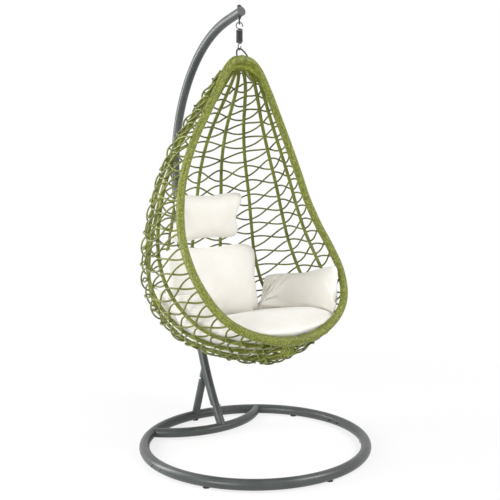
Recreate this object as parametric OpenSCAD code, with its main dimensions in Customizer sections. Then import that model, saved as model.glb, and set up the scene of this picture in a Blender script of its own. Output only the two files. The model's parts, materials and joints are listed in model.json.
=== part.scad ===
// Hanging egg chair: an open woven basket that hangs by a spring from a bowed pole on a ring base.
// Millimetres, +Z up, the basket's mouth towards -Y, origin on the floor under the middle of the footprint.

/* [Base ring] */
// Outer diameter of the ring on the floor
ring_outer_d = 1050; // [950:5:1150]
// Diameter of the ring's tube
ring_tube_d = 46; // [42:1:50]
// Wall of every tube of the stand
tube_wall = 1.5; // [1.2:0.1:2.5]
// Where the two halves of the ring meet, in degrees round from the back
ring_split_deg = 90; // [84:0.5:96]
// Length of the sleeve inside each ring joint
ring_sleeve_l = 120; // [80:5:160]
// Radius of the bow of the crossbar
crossbar_bow_r = 420; // [380:5:480]
// Distance from the ring's centre back to the middle of the crossbar
crossbar_back = 264; // [256:1:272]
// Number of glides under the ring
glide_count = 6; // [4:1:8]
// Diameter of a glide
glide_d = 30; // [24:1:36]
// Height that the glides lift the ring off the floor
glide_lift = 3; // [2:0.5:6]

/* [Pole] */
// Diameter of the pole's tube
pole_d = 42; // [40:1:42]
// Lean of the pole's foot from upright
foot_lean = 33.9; // [33:0.1:35]
// Lean of the straight run of the pole
run_lean = 20; // [19.5:0.1:20.5]
// Bend radius of the foot
foot_bend_r = 1432; // [1380:4:1480]
// Length of the straight run
run_l = 408; // [396:2:420]
// Bend radius of the pole's back
back_bend_r = 1599; // [1569:3:1629]
// Lean at which the pole is cut in two for packing
pole_split_lean = 6.5; // [4:0.5:9]
// Bend radius of the arm's first, wide bend
arm_bend_r = 745; // [720:5:770]
// Turn of the arm's first bend
arm_bend_deg = 44; // [42:0.5:46]
// Bend radius of the arm's last bend
tip_bend_r = 540; // [520:5:560]
// Turn of the arm's last bend
tip_bend_deg = 33; // [32:0.5:34]
// Straight end of the arm
tip_l = 98; // [91:1:105]
// Thickness of the arm's end cap outside the tube
cap_t = 4; // [3:0.5:6]
// How far the cap's plug reaches into the tube
cap_plug_l = 3; // [2:0.5:4]
// Length of the sleeve inside the pole joint
pole_sleeve_l = 160; // [120:5:200]
// Length of the spigot inside the pole's foot
spigot_l = 150; // [130:5:180]
// Diameter of the rear leg's tube
rear_leg_d = 38; // [34:1:40]
// Height at which the rear leg's axis meets the pole's
rear_leg_meet_z = 294; // [280:2:306]
// Length of the stub inside the rear leg's top
leg_stub_l = 90; // [80:5:110]

/* [Hanging gear] */
// Distance from the end of the arm's tube back to the eye bolt
eye_setback = 14; // [13:0.5:18]
// Diameter of the eye bolt's shank
eye_shank_d = 8; // [6:0.5:10]
// Mean radius of the eye
eye_r = 9; // [8.5:0.5:11]
// Wire of the eye
eye_wire_d = 7; // [6:0.5:8]
// Distance from the arm's underside down to the eye's centre
eye_drop = 18; // [17:1:24]
// Wire of the spring and its hooks
spring_wire_d = 4.5; // [4:0.1:5]
// Outer diameter of the spring's coils
spring_outer_d = 30; // [28:1:36]
// Number of coils
spring_turns = 11; // [8:1:14]
// Rise of one coil
spring_pitch = 5.0; // [4.95:0.05:6]
// Mean radius of the spring's open top hook
top_hook_r = 14; // [13:0.5:16]
// Mean radius of the spring's bottom hook
bottom_hook_r = 9; // [8:0.5:11]
// Length of the bottom hook's shank
bottom_hook_shank = 9; // [4:1:20]
// Rod of the bail on the basket's top
bail_d = 6; // [5:0.5:8]
// Bend radius of the bail's peak
bail_bend_r = 16; // [14:1:20]
// Splay of the bail's legs from upright
bail_splay = 20; // [12:1:26]
// Height of the bail's peak above the rim's steel
bail_rise = 49; // [44:1:56]

/* [Basket] */
// Height from the underside to the middle of the rim's peak
basket_h = 1321; // [1250:1:1400]
// Width across the rim's tube centres at the widest place
rim_w = 848; // [780:2:900]
// Reach from the hanging line forward to the bottom of the rim
front_reach = 372; // [340:2:400]
// Reach from the hanging line back to the back rib
back_reach = 372; // [350:2:380]
// How much wider the basket is than its mouth, as the rim's angle past the sides
side_bulge_deg = 23.5; // [20:0.5:27]
// Turn of the hanging basket at rest
basket_turn = 5; // [0:1:10]
// Diameter of the rim's steel tube
rim_core_d = 18; // [14:1:20]
// Diameter over the rim's wound rattan
rim_wrap_d = 36; // [32:1:40]
// Diameter over a wound rib
rib_d = 16; // [14:0.5:18]
// Wire of the hoop that ties the ribs under the peak
tie_hoop_d = 6; // [5:0.5:8]

/* [Weave] */
// Number of rows that the ribs' length is divided into
weave_rows = 26; // [22:1:28]
// Height of a strand's wave as a share of a row, each way
wave_share = 0.36; // [0.30:0.01:0.37]
// Diameter of a strand
strand_d = 6; // [5:0.5:6.5]
// Last row near the peak whose strands span two gaps in one half wave
wide_wave_rows = 7; // [4:1:9]

/* [Cushions] */
// Width of the seat cushion
seat_w = 580; // [540:5:600]
// Depth of the seat cushion, front to back
seat_depth = 500; // [470:5:510]
// Thickness of the seat cushion
seat_t = 188; // [160:2:192]
// Width of the back cushion
back_w = 450; // [410:5:460]
// Height of the back cushion
back_h = 330; // [310:5:340]
// Thickness of the back cushion
back_t = 200; // [170:5:210]
// Width of the head pillow
head_w = 380; // [340:5:400]
// Height of the head pillow
head_h = 215; // [190:5:230]
// Thickness of the head pillow
head_t = 130; // [110:5:140]
// Length of an arm pillow
arm_w = 400; // [370:5:410]
// Height of an arm pillow
arm_h = 215; // [195:5:225]
// Thickness of an arm pillow
arm_t = 100; // [85:5:105]
// How far a cushion's sides draw in between its corners, as a share
cushion_draw = 0.08; // [0.04:0.01:0.12]

/* [Fasteners and fits] */
// Diameter of the frame bolts
bolt_d = 8; // [6:1:10]
// Gap left between pieces that seat on each other
seat_gap = 0.3; // [0.2:0.05:0.5]
// Radial clearance of a bolt in its hole
bolt_clear = 0.25; // [0.15:0.05:0.5]
// Radial clearance of a sleeve in its tube
sleeve_clear = 0.2; // [0.1:0.05:0.4]

/* [Hidden] */
$fn = 48;

STEEL = [0.30, 0.32, 0.31];
BLACK = [0.09, 0.09, 0.10];
ZINC = [0.78, 0.79, 0.80];
RATTAN = [0.47, 0.53, 0.20];
RATTAN_DARK = [0.37, 0.43, 0.15];
CREAM = [0.97, 0.95, 0.91];

// Stand, laid out in its own upright plane as [distance behind the ring's centre, height]
ring_r = (ring_outer_d - ring_tube_d) / 2;
ring_z = glide_lift + ring_tube_d / 2;
pole_bore = pole_d - 2 * tube_wall;
foot = [crossbar_back, ring_z];
function turned(p, r, a, b) = p + r * [cos(b) - cos(a), sin(a) - sin(b)];
function ahead(p, lean, l) = p + l * [sin(lean), cos(lean)];
function turn_of(l, r) = l / r * 180 / PI;
function bend_centre(p, r, lean) = p + r * [-cos(lean), sin(lean)];
run_start = turned(foot, foot_bend_r, foot_lean, run_lean);
run_end = ahead(run_start, run_lean, run_l);
back_centre = bend_centre(run_end, back_bend_r, run_lean);
back_top = turned(run_end, back_bend_r, run_lean, 0);
arm_lean = -arm_bend_deg;
tip_lean = arm_lean - tip_bend_deg;
arm_top = turned(back_top, arm_bend_r, 0, arm_lean);
tip_start = turned(arm_top, tip_bend_r, arm_lean, tip_lean);
tip_end = ahead(tip_start, tip_lean, tip_l);
pole_back_max = back_top[0] + pole_d / 2;
// The footprint runs from the ring's front to the pole's furthest back
mid_back = (pole_back_max - ring_outer_d / 2) / 2;
function stand(p, x = 0) = [x, p[0] - mid_back, p[1]];

// Hanging line and the heights along it
hook_axis = ahead(tip_end, tip_lean, -eye_setback);
arm_under_z = hook_axis[1] - pole_d / 2 / sin(-tip_lean);
arm_over_z = hook_axis[1] + pole_d / 2 / sin(-tip_lean);
eye_z = arm_under_z - eye_drop;
swing_z = eye_z - eye_r;
spring_wire_r = spring_wire_d / 2;
top_hook_z = swing_z + eye_wire_d / 2 + seat_gap + spring_wire_r - top_hook_r;
top_link_z = top_hook_z - top_hook_r;
coil_top_z = top_link_z - spring_wire_r * (1 + sin(60)) - seat_gap;
coil_r = (spring_outer_d - spring_wire_d) / 2;
coil_bottom_z = coil_top_z - spring_turns * spring_pitch;
bottom_link_z = coil_bottom_z - spring_wire_r * (1 + sin(60)) - seat_gap;
hook_bend_z = bottom_link_z - bottom_hook_r;
hook_bottom_z = hook_bend_z - bottom_hook_shank;
bail_top_z = hook_bottom_z - bottom_hook_r + spring_wire_r + seat_gap + bail_d / 2;
peak_z = bail_top_z - bail_rise;
under_z = peak_z - basket_h;
hook_place = stand([hook_axis[0], 0]);

// Rim and back rib as shares: forward of the hanging line, height, half width of the rim
rim_shares = [[0.05, 1, 0], [0.065, 0.973, 0.193], [0.07, 0.907, 0.334], [0.065, 0.843, 0.448],
    [0.05, 0.737, 0.637], [0.073, 0.623, 0.797], [0.134, 0.525, 0.889], [0.255, 0.434, 0.96],
    [0.433, 0.351, 1], [0.63, 0.27, 0.981], [0.804, 0.19, 0.863], [0.914, 0.135, 0.637],
    [0.978, 0.101, 0.318], [1, 0.09, 0]];
back_shares = [[-0.005, 0.994], [0.25, 0.888], [0.546, 0.774], [0.745, 0.661], [0.86, 0.532],
    [0.946, 0.396], [1, 0.275], [0.9, 0.154], [0.511, 0.059], [0, 0.01], [-0.511, 0.001], [-0.941, 0.039]];
rim_points = [for (p = rim_shares) [p[2] * rim_w / 2, -p[0] * front_reach, under_z + p[1] * basket_h]];
back_points = [for (p = back_shares) [0, p[0] * back_reach, under_z + p[1] * basket_h]];

// A smooth curve through points, cut again into even steps
function spline(a, b, c, d, t) = 0.5 * (2 * b + (c - a) * t + (2 * a - 5 * b + 4 * c - d) * t * t
    + (3 * b - a - 3 * c + d) * t * t * t);
function knot(p, i) = i < 0 ? 2 * p[0] - p[1] : i >= len(p) ? 2 * p[len(p) - 1] - p[len(p) - 2] : p[i];
spline_steps = 10;
function smooth(p) = concat([for (i = [0:len(p) - 2], k = [0:spline_steps - 1])
    spline(knot(p, i - 1), knot(p, i), knot(p, i + 1), knot(p, i + 2), k / spline_steps)], [p[len(p) - 1]]);
function lengths(c) = [for (i = 0, l = 0; i < len(c);
    l = l + (i + 1 < len(c) ? norm(c[i + 1] - c[i]) : 0), i = i + 1) l];
function along(c, l, share) = let(d = share * l[len(l) - 1],
    i = min(len(c) - 2, max([for (k = [0:len(l) - 1]) if (l[k] <= d + 0.001) k])),
    t = (d - l[i]) / (l[i + 1] - l[i])) c[i] + t * (c[i + 1] - c[i]);
rim_curve = smooth(rim_points);
rim_lengths = lengths(rim_curve);
back_curve = smooth(back_points);
back_lengths = lengths(back_curve);

// The basket's shell: rows down from the peak, and angles round from the back rib
row_knots = concat([0, 0.012, 0.025], [for (i = [1:weave_rows - 1]) i / weave_rows], [0.985, 1]);
rim_rows = [for (t = row_knots) along(rim_curve, rim_lengths, t)];
back_rows = [for (t = row_knots) along(back_curve, back_lengths, t)];
rim_deg = 90 + side_bulge_deg;
function shell_at(k, a) = let(r = [0, rim_rows[k][1], rim_rows[k][2]], m = back_rows[k],
    deep = norm(m - r) / (1 + sin(side_bulge_deg)), e = (m - r) / norm(m - r),
    wide = rim_rows[k][0] / cos(side_bulge_deg))
    r + e * deep * (sin(side_bulge_deg) + cos(a)) + [wide * sin(a), 0, 0];
last_knot = len(row_knots) - 1;
function across_at(k, a) = shell_at(k, a + 0.5) - shell_at(k, a - 0.5);
function down_at(k, a) = shell_at(min(k + 1, last_knot), a) - shell_at(max(k - 1, 0), a);
function unit(v) = v / norm(v);
function outward_at(k, a) = let(i = max(1, min(last_knot - 1, k))) unit(cross(across_at(i, a), down_at(i, a)));
function knot_below(t) = min(last_knot - 1, max([for (k = [0:last_knot]) if (row_knots[k] <= t + 0.00001) k]));
function between(t, f0, f1, k) = f0 + (t - row_knots[k]) / (row_knots[k + 1] - row_knots[k]) * (f1 - f0);
function shell(t, a) = let(k = knot_below(t)) between(t, shell_at(k, a), shell_at(k + 1, a), k);
function outward(t, a) = let(k = knot_below(t)) between(t, outward_at(k, a), outward_at(k + 1, a), k);
function downward(t, a) = let(k = knot_below(t)) unit(shell_at(k + 1, a) - shell_at(k, a));

// Angles of the rim's two sides and of the nine ribs, left to right
rib_angles = [-rim_deg, -92.5, -74.5, -46.5, -22, 0, 22, 46.5, 74.5, 92.5, rim_deg];
cap_row = 0.045;
pad_row = 0.965;
outer_rib_row = 0.068;
rib_r = rib_d / 2;
rib_corner = rib_r * 1.06;
rib_face = rib_corner * cos(30);
wrap_r = rim_wrap_d / 2;
strand_r = strand_d / 2;
strand_base = rib_face + seat_gap + 0.5 + strand_r / 2;
cross_lift = strand_r * 1.5 + seat_gap + 0.15;

// Sweeps: rings of points joined by triangles
function ring_count(r) = len(r[0]);
function skin(rings, closed = false) = let(n = ring_count(rings), m = len(rings))
    [for (i = [0:(closed ? m - 1 : m - 2)], j = [0:n - 1]) let(a = i * n + j, b = i * n + (j + 1) % n,
        c = ((i + 1) % m) * n + j, d = ((i + 1) % m) * n + (j + 1) % n) each [[a, c, b], [b, c, d]]];
function end_fan(n, first, flip) = [for (j = [1:n - 2]) flip
    ? [first, first + j, first + j + 1] : [first, first + j + 1, first + j]];
function flat(l) = [for (a = l) each a];
function shifted(faces, by) = [for (f = faces) [for (v = f) v + by]];
function tube_faces(rings) = let(n = ring_count(rings), m = len(rings))
    concat(skin(rings), end_fan(n, 0, true), end_fan(n, (m - 1) * n, false));
module sweep(rings) polyhedron(flat(rings), tube_faces(rings), convexity = 10);
module many_sweeps(list) polyhedron(flat([for (r = list) flat(r)]),
    flat([for (i = [0:len(list) - 1]) shifted(tube_faces(list[i]), i * len(list[i]) * ring_count(list[i]))]),
    convexity = 10);

arc_sides = 480;
module tube_ring(d_out, d_in) difference() {
    circle(d = d_out, $fn = 48);
    circle(d = d_in, $fn = 48);
}

// A bend of the stand in its upright plane, from one lean to a smaller one
module bend(p, r, a, b, d_out, d_in = 0) translate(stand(bend_centre(p, r, a))) rotate([90, 0, 90])
    rotate([0, 0, -a]) rotate_extrude(angle = a - b, $fn = arc_sides) translate([r, 0])
        if (d_in > 0) tube_ring(d_out, d_in); else circle(d = d_out, $fn = 48);
module run(p, lean, l, d_out, d_in = 0) translate(stand(p)) rotate([-lean, 0, 0])
    linear_extrude(l) if (d_in > 0) tube_ring(d_out, d_in); else circle(d = d_out);
module floor_arc(centre, r, a, b, d_out, d_in = 0) translate(stand([centre, ring_z])) rotate([0, 0, a])
    rotate_extrude(angle = b - a, $fn = arc_sides) translate([r, 0])
        if (d_in > 0) tube_ring(d_out, d_in); else circle(d = d_out, $fn = 48);
// A bolt along +X from its head, with a nut at the far side
module bolt(l) {
    rotate([0, 90, 0]) cylinder(d = bolt_d, h = l + bolt_d);
    intersection() {
        translate([-bolt_d * 0.45, 0, 0]) rotate([0, 90, 0]) cylinder(d = bolt_d * 1.8, h = bolt_d * 0.45);
        translate([bolt_d * 0.7, 0, 0]) sphere(r = bolt_d * 1.15);
    }
}
module nut(l) translate([l, 0, 0]) rotate([0, 90, 0]) difference() {
    cylinder(d = bolt_d * 1.9, h = bolt_d * 0.75, $fn = 6);
    translate([0, 0, -1]) cylinder(d = bolt_d + 0.1, h = bolt_d + 2);
}
module bolt_hole(l) translate([-bolt_d, 0, 0]) rotate([0, 90, 0])
    cylinder(r = bolt_d / 2 + bolt_clear, h = l + 2 * bolt_d);

// Base ring
module whole_ring(d) floor_arc(0, ring_r, 0, 360, d);
module ring_bolt_places() for (seam = [90 - ring_split_deg, 90 + ring_split_deg], off = [-1, 1])
    translate(stand([0, ring_z])) rotate([0, 0, seam + off * sleeve_deg / 4])
        translate([ring_r + ring_tube_d / 2 + seat_gap, 0, 0]) rotate([0, 0, 180]) children();
module ring_holes() ring_bolt_places() bolt_hole(ring_tube_d + 2 * seat_gap);
module ring_half(a, b) color(STEEL) difference() {
    floor_arc(0, ring_r, a + seam_deg, b - seam_deg, ring_tube_d, ring_tube_d - 2 * tube_wall);
    ring_holes();
}
seam_deg = turn_of(seat_gap / 2, ring_r);
module ring_front_half() ring_half(-270 + ring_split_deg, 90 - ring_split_deg);
module ring_rear_half() ring_half(90 - ring_split_deg, 90 + ring_split_deg);
sleeve_deg = turn_of(ring_sleeve_l, ring_r);
ring_sleeve_d = ring_tube_d - 2 * tube_wall - 2 * sleeve_clear;
module ring_sleeves() color(STEEL) difference() {
    for (middle = [90 - ring_split_deg, 90 + ring_split_deg])
        floor_arc(0, ring_r, middle - sleeve_deg / 2, middle + sleeve_deg / 2, ring_sleeve_d,
            ring_sleeve_d - 2 * tube_wall);
    ring_holes();
}
module ring_bolts() color(BLACK) ring_bolt_places() {
    bolt(ring_tube_d + 2 * seat_gap);
    nut(ring_tube_d + 2 * seat_gap);
}
module ring_glides() color(BLACK) difference() {
    for (i = [0:glide_count - 1]) translate(stand([0, 0])) rotate([0, 0, 360 / glide_count * (i + 0.5)])
        translate([ring_r, 0, 0]) cylinder(d = glide_d, h = ring_tube_d / 6 + glide_lift);
    whole_ring(ring_tube_d + 2 * seat_gap);
}
crossbar_d = ring_tube_d - 2;
crossbar_centre = crossbar_back + crossbar_bow_r;
crossbar_half_deg = acos((crossbar_centre * crossbar_centre + crossbar_bow_r * crossbar_bow_r
    - ring_r * ring_r) / (2 * crossbar_centre * crossbar_bow_r));
module crossbar() color(STEEL) difference() {
    floor_arc(crossbar_centre, crossbar_bow_r, -90 - crossbar_half_deg, -90 + crossbar_half_deg,
        crossbar_d, crossbar_d - 2 * tube_wall);
    whole_ring(ring_tube_d + 0.1);
}
module crossbar_solid() floor_arc(crossbar_centre, crossbar_bow_r, -90 - crossbar_half_deg / 3,
    -90 + crossbar_half_deg / 3, crossbar_d + 0.1);

// Pole
function lean_after(l) = foot_lean - turn_of(l, foot_bend_r);
foot_bolt_l = 105;
foot_bolt_at = turned(foot, foot_bend_r, foot_lean, lean_after(foot_bolt_l));
sleeve_half_deg = turn_of(pole_sleeve_l / 2, back_bend_r);
pole_sleeve_d = pole_bore - 2 * sleeve_clear;
pole_bolt_leans = [pole_split_lean - sleeve_half_deg / 2, pole_split_lean + sleeve_half_deg / 2];
function back_at(lean) = turned(run_end, back_bend_r, run_lean, lean);
module cross_bolt_at(p) translate(stand(p, -pole_d / 2 - seat_gap)) children();
module pole_joint_holes() for (a = pole_bolt_leans) cross_bolt_at(back_at(a)) bolt_hole(pole_d + 2 * seat_gap);
module foot_hole() cross_bolt_at(foot_bolt_at) bolt_hole(pole_d + 2 * seat_gap);
module pole_spigot() color(STEEL) difference() {
    bend(foot, foot_bend_r, foot_lean, lean_after(spigot_l), pole_sleeve_d, pole_sleeve_d - 2 * tube_wall);
    crossbar_solid();
    foot_hole();
}
module foot_bolt() color(ZINC) cross_bolt_at(foot_bolt_at) {
    bolt(pole_d + 2 * seat_gap);
    nut(pole_d + 2 * seat_gap);
}
// Every second length of a pole is a hair thinner and runs a little way into the lengths beside it
lap = 2;
hair = 0.1;
pole_hair = 0.6;
module long_bend(p, r, a, b, before, after, d) let(a1 = a + turn_of(before, r), b1 = b - turn_of(after, r))
    bend(turned(p, r, a, a1), r, a1, b1, d);
module lower_pole_path(d, open) {
    long_bend(foot, foot_bend_r, foot_lean, run_lean, 0, 0, d);
    run(ahead(run_start, run_lean, -lap), run_lean, run_l + 2 * lap, d - pole_hair);
    long_bend(run_end, back_bend_r, run_lean, pole_split_lean, 0, open - seat_gap / 2, d);
}
module lower_pole() color(STEEL) difference() {
    lower_pole_path(pole_d, 0);
    lower_pole_path(pole_bore, lap);
    crossbar_solid();
    foot_hole();
    pole_joint_holes();
}
module pole_sleeve() color(STEEL) difference() {
    bend(back_at(pole_split_lean + sleeve_half_deg), back_bend_r, pole_split_lean + sleeve_half_deg,
        pole_split_lean - sleeve_half_deg, pole_sleeve_d, pole_sleeve_d - 2 * tube_wall);
    pole_joint_holes();
}
module pole_joint_bolts() color(ZINC) for (a = pole_bolt_leans) cross_bolt_at(back_at(a)) {
    bolt(pole_d + 2 * seat_gap);
    nut(pole_d + 2 * seat_gap);
}
module upper_pole_path(d, open) {
    long_bend(back_at(pole_split_lean), back_bend_r, pole_split_lean, 0, open - seat_gap / 2, 0, d);
    long_bend(back_top, arm_bend_r, 0, arm_lean, lap, lap, d - pole_hair);
    long_bend(arm_top, tip_bend_r, arm_lean, tip_lean, 0, 0, d);
    run(ahead(tip_start, tip_lean, -lap), tip_lean, tip_l + lap + open, d - pole_hair);
}
module upper_pole() color(STEEL) difference() {
    upper_pole_path(pole_d, 0);
    upper_pole_path(pole_bore, lap);
    pole_joint_holes();
    eye_hole(bolt_clear);
}
module eye_hole(clear) translate(stand([hook_axis[0], arm_under_z - pole_d / 2]))
    cylinder(r = eye_shank_d / 2 + clear, h = 2 * pole_d);
module arm_end_cap() color(BLACK) {
    run(ahead(tip_end, tip_lean, seat_gap), tip_lean, cap_t, pole_d);
    run(ahead(tip_end, tip_lean, -cap_plug_l), tip_lean, cap_plug_l + seat_gap + cap_t / 2,
        pole_bore - pole_hair - 2 * sleeve_clear);
}

// Rear leg, from the ring's back to the pole
function pole_axis_at(z) = z > run_start[1] ? ahead(run_start, run_lean, (z - run_start[1]) / cos(run_lean))
    : turned(foot, foot_bend_r, foot_lean, asin(sin(foot_lean) - (z - ring_z) / foot_bend_r));
leg_foot = [ring_r, ring_z];
leg_top = pole_axis_at(rear_leg_meet_z);
leg_vector = leg_top - leg_foot;
leg_lean = atan2(leg_vector[0], leg_vector[1]);
leg_l = norm(leg_vector);
leg_bore = rear_leg_d - 2 * tube_wall;
leg_bolt_at = ahead(leg_foot, leg_lean, leg_l - leg_stub_l * 0.7);
module leg_hole() translate(stand(leg_bolt_at, -rear_leg_d / 2 - seat_gap)) bolt_hole(rear_leg_d + 2 * seat_gap);
module pole_foot_solid() {
    bend(foot, foot_bend_r, foot_lean, run_lean, pole_d + 0.1);
    run(ahead(run_start, run_lean, -lap), run_lean, run_l / 2, pole_d + 0.1 - pole_hair);
}
module rear_leg() color(STEEL) difference() {
    run(leg_foot, leg_lean, leg_l, rear_leg_d, leg_bore);
    whole_ring(ring_tube_d + 0.1);
    pole_foot_solid();
    leg_hole();
}
module rear_leg_stub() color(STEEL) difference() {
    run(ahead(leg_foot, leg_lean, leg_l - leg_stub_l), leg_lean, leg_stub_l, leg_bore - 2 * sleeve_clear,
        leg_bore - 2 * sleeve_clear - 2 * tube_wall);
    pole_foot_solid();
    leg_hole();
}
module rear_leg_bolt() color(ZINC) translate(stand(leg_bolt_at, -rear_leg_d / 2 - seat_gap)) {
    bolt(rear_leg_d + 2 * seat_gap);
    nut(rear_leg_d + 2 * seat_gap);
}

// Hanging gear
module hanging() translate(hook_place) rotate([0, 0, basket_turn]) children();
saddle_r = eye_shank_d * 1.1;
saddle_t = 4.5;
// Saddle washers shaped to the arm, one over it and one under it
module arm_saddles() color(BLACK) difference() {
    for (z = [arm_under_z - saddle_t, arm_over_z - 1.5]) translate(hook_place + [0, 0, z])
        cylinder(r = saddle_r, h = saddle_t + 1.5);
    run(ahead(tip_end, tip_lean, -2 * eye_setback), tip_lean, 2 * eye_setback, pole_d + 2 * seat_gap);
    eye_hole(bolt_clear);
}
collar_z = arm_under_z - saddle_t - seat_gap;
nut_z = arm_over_z + saddle_t + seat_gap;
nut_h = eye_shank_d * 0.8;
module eye_bolt() color(BLACK) hanging() {
    translate([0, 0, eye_z]) rotate([90, 0, 0]) rotate_extrude($fn = 64) translate([eye_r, 0])
        circle(d = eye_wire_d);
    translate([0, 0, eye_z + eye_r]) cylinder(d = eye_shank_d, h = nut_z + nut_h - eye_z - eye_r);
    translate([0, 0, eye_z + eye_r - 1]) cylinder(r1 = eye_wire_d / 2 + 0.7, r2 = saddle_r - 0.8,
        h = collar_z - eye_z - eye_r + 1);
}
// A domed nut over the end of the eye bolt
module eye_nut() color(BLACK) hanging() translate([0, 0, nut_z]) difference() {
    union() {
        cylinder(r = saddle_r, h = 1.6);
        cylinder(d = eye_shank_d * 1.75, h = nut_h, $fn = 6);
        intersection() {
            translate([0, 0, nut_h - 1]) sphere(r = eye_shank_d * 0.76);
            translate([0, 0, nut_h - 1.5]) cylinder(r = eye_shank_d, h = eye_shank_d);
        }
    }
    translate([0, 0, -1]) cylinder(d = eye_shank_d + 0.1, h = nut_h + 1.3);
}
// An arc of spring wire in the fore-and-aft plane; angles run from the front up to the top
module wire_arc(z, r, a, b) translate([0, 0, z]) rotate([90, 0, -90]) rotate([0, 0, a])
    rotate_extrude(angle = b - a, $fn = 64) translate([r, 0]) circle(d = spring_wire_d);
module link(z, before = 0, less = 0) translate([0, before, z]) rotate([90, 0, 0])
    cylinder(d = spring_wire_d - less, h = coil_r + before);
module spring_top_hook() color(BLACK) hanging() {
    wire_arc(top_hook_z, top_hook_r, -20, 270);
    link(top_link_z, 1, hair);
}
coil_rings = 8;
function coil_ring(i) = let(a = -90 + 360 * i / coil_rings, z = coil_top_z - spring_pitch * i / coil_rings)
    [for (j = [0:5]) let(q = -60 * j, r = coil_r + spring_wire_r * cos(q))
        [r * cos(a), r * sin(a), z + spring_wire_r * sin(q)]];
module spring_coil() color(BLACK) hanging() sweep([for (i = [0:coil_rings * spring_turns]) coil_ring(i)]);
// Measured between the section points of one coil and those of the coils next to it
coil_gap = min([for (i = [0:coil_rings], p = coil_ring(i), k = [-1:1], q = coil_ring(i + coil_rings + k))
    norm(p - q)]);
echo(least_gap_between_coils = coil_gap);
module spring_bottom_hook() color(BLACK) hanging() {
    link(bottom_link_z);
    wire_arc(hook_bend_z, bottom_hook_r, 90, 180);
    translate([0, bottom_hook_r, hook_bottom_z]) cylinder(d = spring_wire_d, h = bottom_hook_shank);
    wire_arc(hook_bottom_z, bottom_hook_r, 180, 360);
    translate([0, -bottom_hook_r, hook_bottom_z]) cylinder(d = spring_wire_d, h = bottom_hook_shank * 0.8);
}
// The bail leans from the hook forward to the rim's steel
rim_peak = rim_rows[0];
bail_foot_drop = bail_rise + 5 - rim_core_d / 2;
bail_lean = atan2(-rim_peak[1], bail_foot_drop);
bail_leg_l = (bail_foot_drop / cos(bail_lean) - bail_bend_r * (1 - sin(bail_splay))) / cos(bail_splay) + 4;
module bail_place() translate([0, 0, bail_top_z]) rotate([-bail_lean, 0, 0])
    translate([0, 0, -bail_bend_r]) children();
module bail_legs(d) for (side = [0, 180]) rotate([0, 0, side]) rotate([0, 90 - bail_splay, 0])
    translate([-lap / 2, 0, bail_bend_r]) rotate([0, 90, 0]) cylinder(d = d - hair, h = bail_leg_l + lap / 2);
module bail() color(BLACK) hanging() difference() {
    bail_place() {
        bail_legs(bail_d);
        rotate([90, 0, 0]) rotate([0, 0, bail_splay]) rotate_extrude(angle = 180 - 2 * bail_splay, $fn = 64)
            translate([bail_bend_r, 0]) circle(d = bail_d);
    }
    sweep(concat([for (t = [0.06, 0.045, 0.03, 0.018, 0.008]) rim_ring(t, -1, rim_core_d + 0.1)],
        [for (t = [0, 0.008, 0.018, 0.03, 0.045, 0.06]) rim_ring(t, 1, rim_core_d + 0.1)]));
}

// Rim: a steel tube bent to the mouth's outline, wound thick with rattan
rim_stations = concat([0, 0.008, 0.018, 0.03, 0.045, 0.06], [for (i = [2:weave_rows - 1]) i / weave_rows],
    [0.985, 1]);
rim_sides = 8;
function rim_at(t, side) = let(p = along(rim_curve, rim_lengths, t)) [side * p[0], p[1], p[2]];
function rim_way(t, side) = t <= 0 ? [1, 0, 0] : t >= 1 ? [-1, 0, 0]
    : side * unit(rim_at(min(1, t + 0.008), side) - rim_at(max(0, t - 0.008), side));
function rim_ring(t, side, d, shift = 0) = let(p = rim_at(t, side) + [side * shift, 0, 0],
    w = rim_way(t, side), out = unit([0, -1, 0] - ([0, -1, 0] * w) * w), up = cross(w, out))
    [for (j = [0:rim_sides - 1]) let(q = 360 * (j + 0.5) / rim_sides) p + d / 2 * (cos(q) * out + sin(q) * up)];
last_station = len(rim_stations) - 1;
module rim_core() color(BLACK) hanging() let(rings = concat(
    [for (i = [0:last_station]) rim_ring(rim_stations[i], 1, rim_core_d)],
    [for (i = [last_station - 1:-1:1]) rim_ring(rim_stations[i], -1, rim_core_d)]))
    polyhedron(flat(rings), skin(rings, true), convexity = 10);
function half_rim(side, d) = [for (i = [0:last_station]) let(k = side > 0 ? i : last_station - i,
    t = rim_stations[k]) rim_ring(t, side, d, t == 0 || t == 1 ? seat_gap / 2 : 0)];
module rim_wrap(side) difference() {
    hollow_sweep(half_rim(side, rim_wrap_d), half_rim(side, rim_core_d + 2.5 * seat_gap));
    bail_place() bail_legs(bail_d + 2 * seat_gap);
}
module rim_wrap_left() color(RATTAN) hanging() rim_wrap(-1);
module rim_wrap_right() color(RATTAN) hanging() rim_wrap(1);
module hollow_sweep(outer, inner) let(n = ring_count(outer), m = len(outer), a = (m - 1) * n, o = m * n)
    polyhedron(concat(flat(outer), flat(inner)), concat(skin(outer),
        [for (f = skin(inner)) [f[0] + o, f[2] + o, f[1] + o]],
        flat([for (j = [0:n - 1]) let(k = (j + 1) % n) [[j, k, o + k], [j, o + k, o + j],
            [a + k, a + j, a + o + j], [a + k, a + o + j, a + o + k]]])), convexity = 10);

// Distance from a point to the rim's centre line near a row
rim_parts = 104;
rim_fine = [for (i = [0:rim_parts]) along(rim_curve, rim_lengths, i / rim_parts)];
function to_segment(p, a, b) = let(v = b - a) norm(p - a - max(0, min(1, (p - a) * v / (v * v))) * v);
function to_rim(p, t) = let(q = [abs(p[0]), p[1], p[2]], i = floor(t * rim_parts))
    min([for (k = [max(0, i - 7):min(rim_parts - 1, i + 7)]) to_segment(q, rim_fine[k], rim_fine[k + 1])]);
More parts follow.
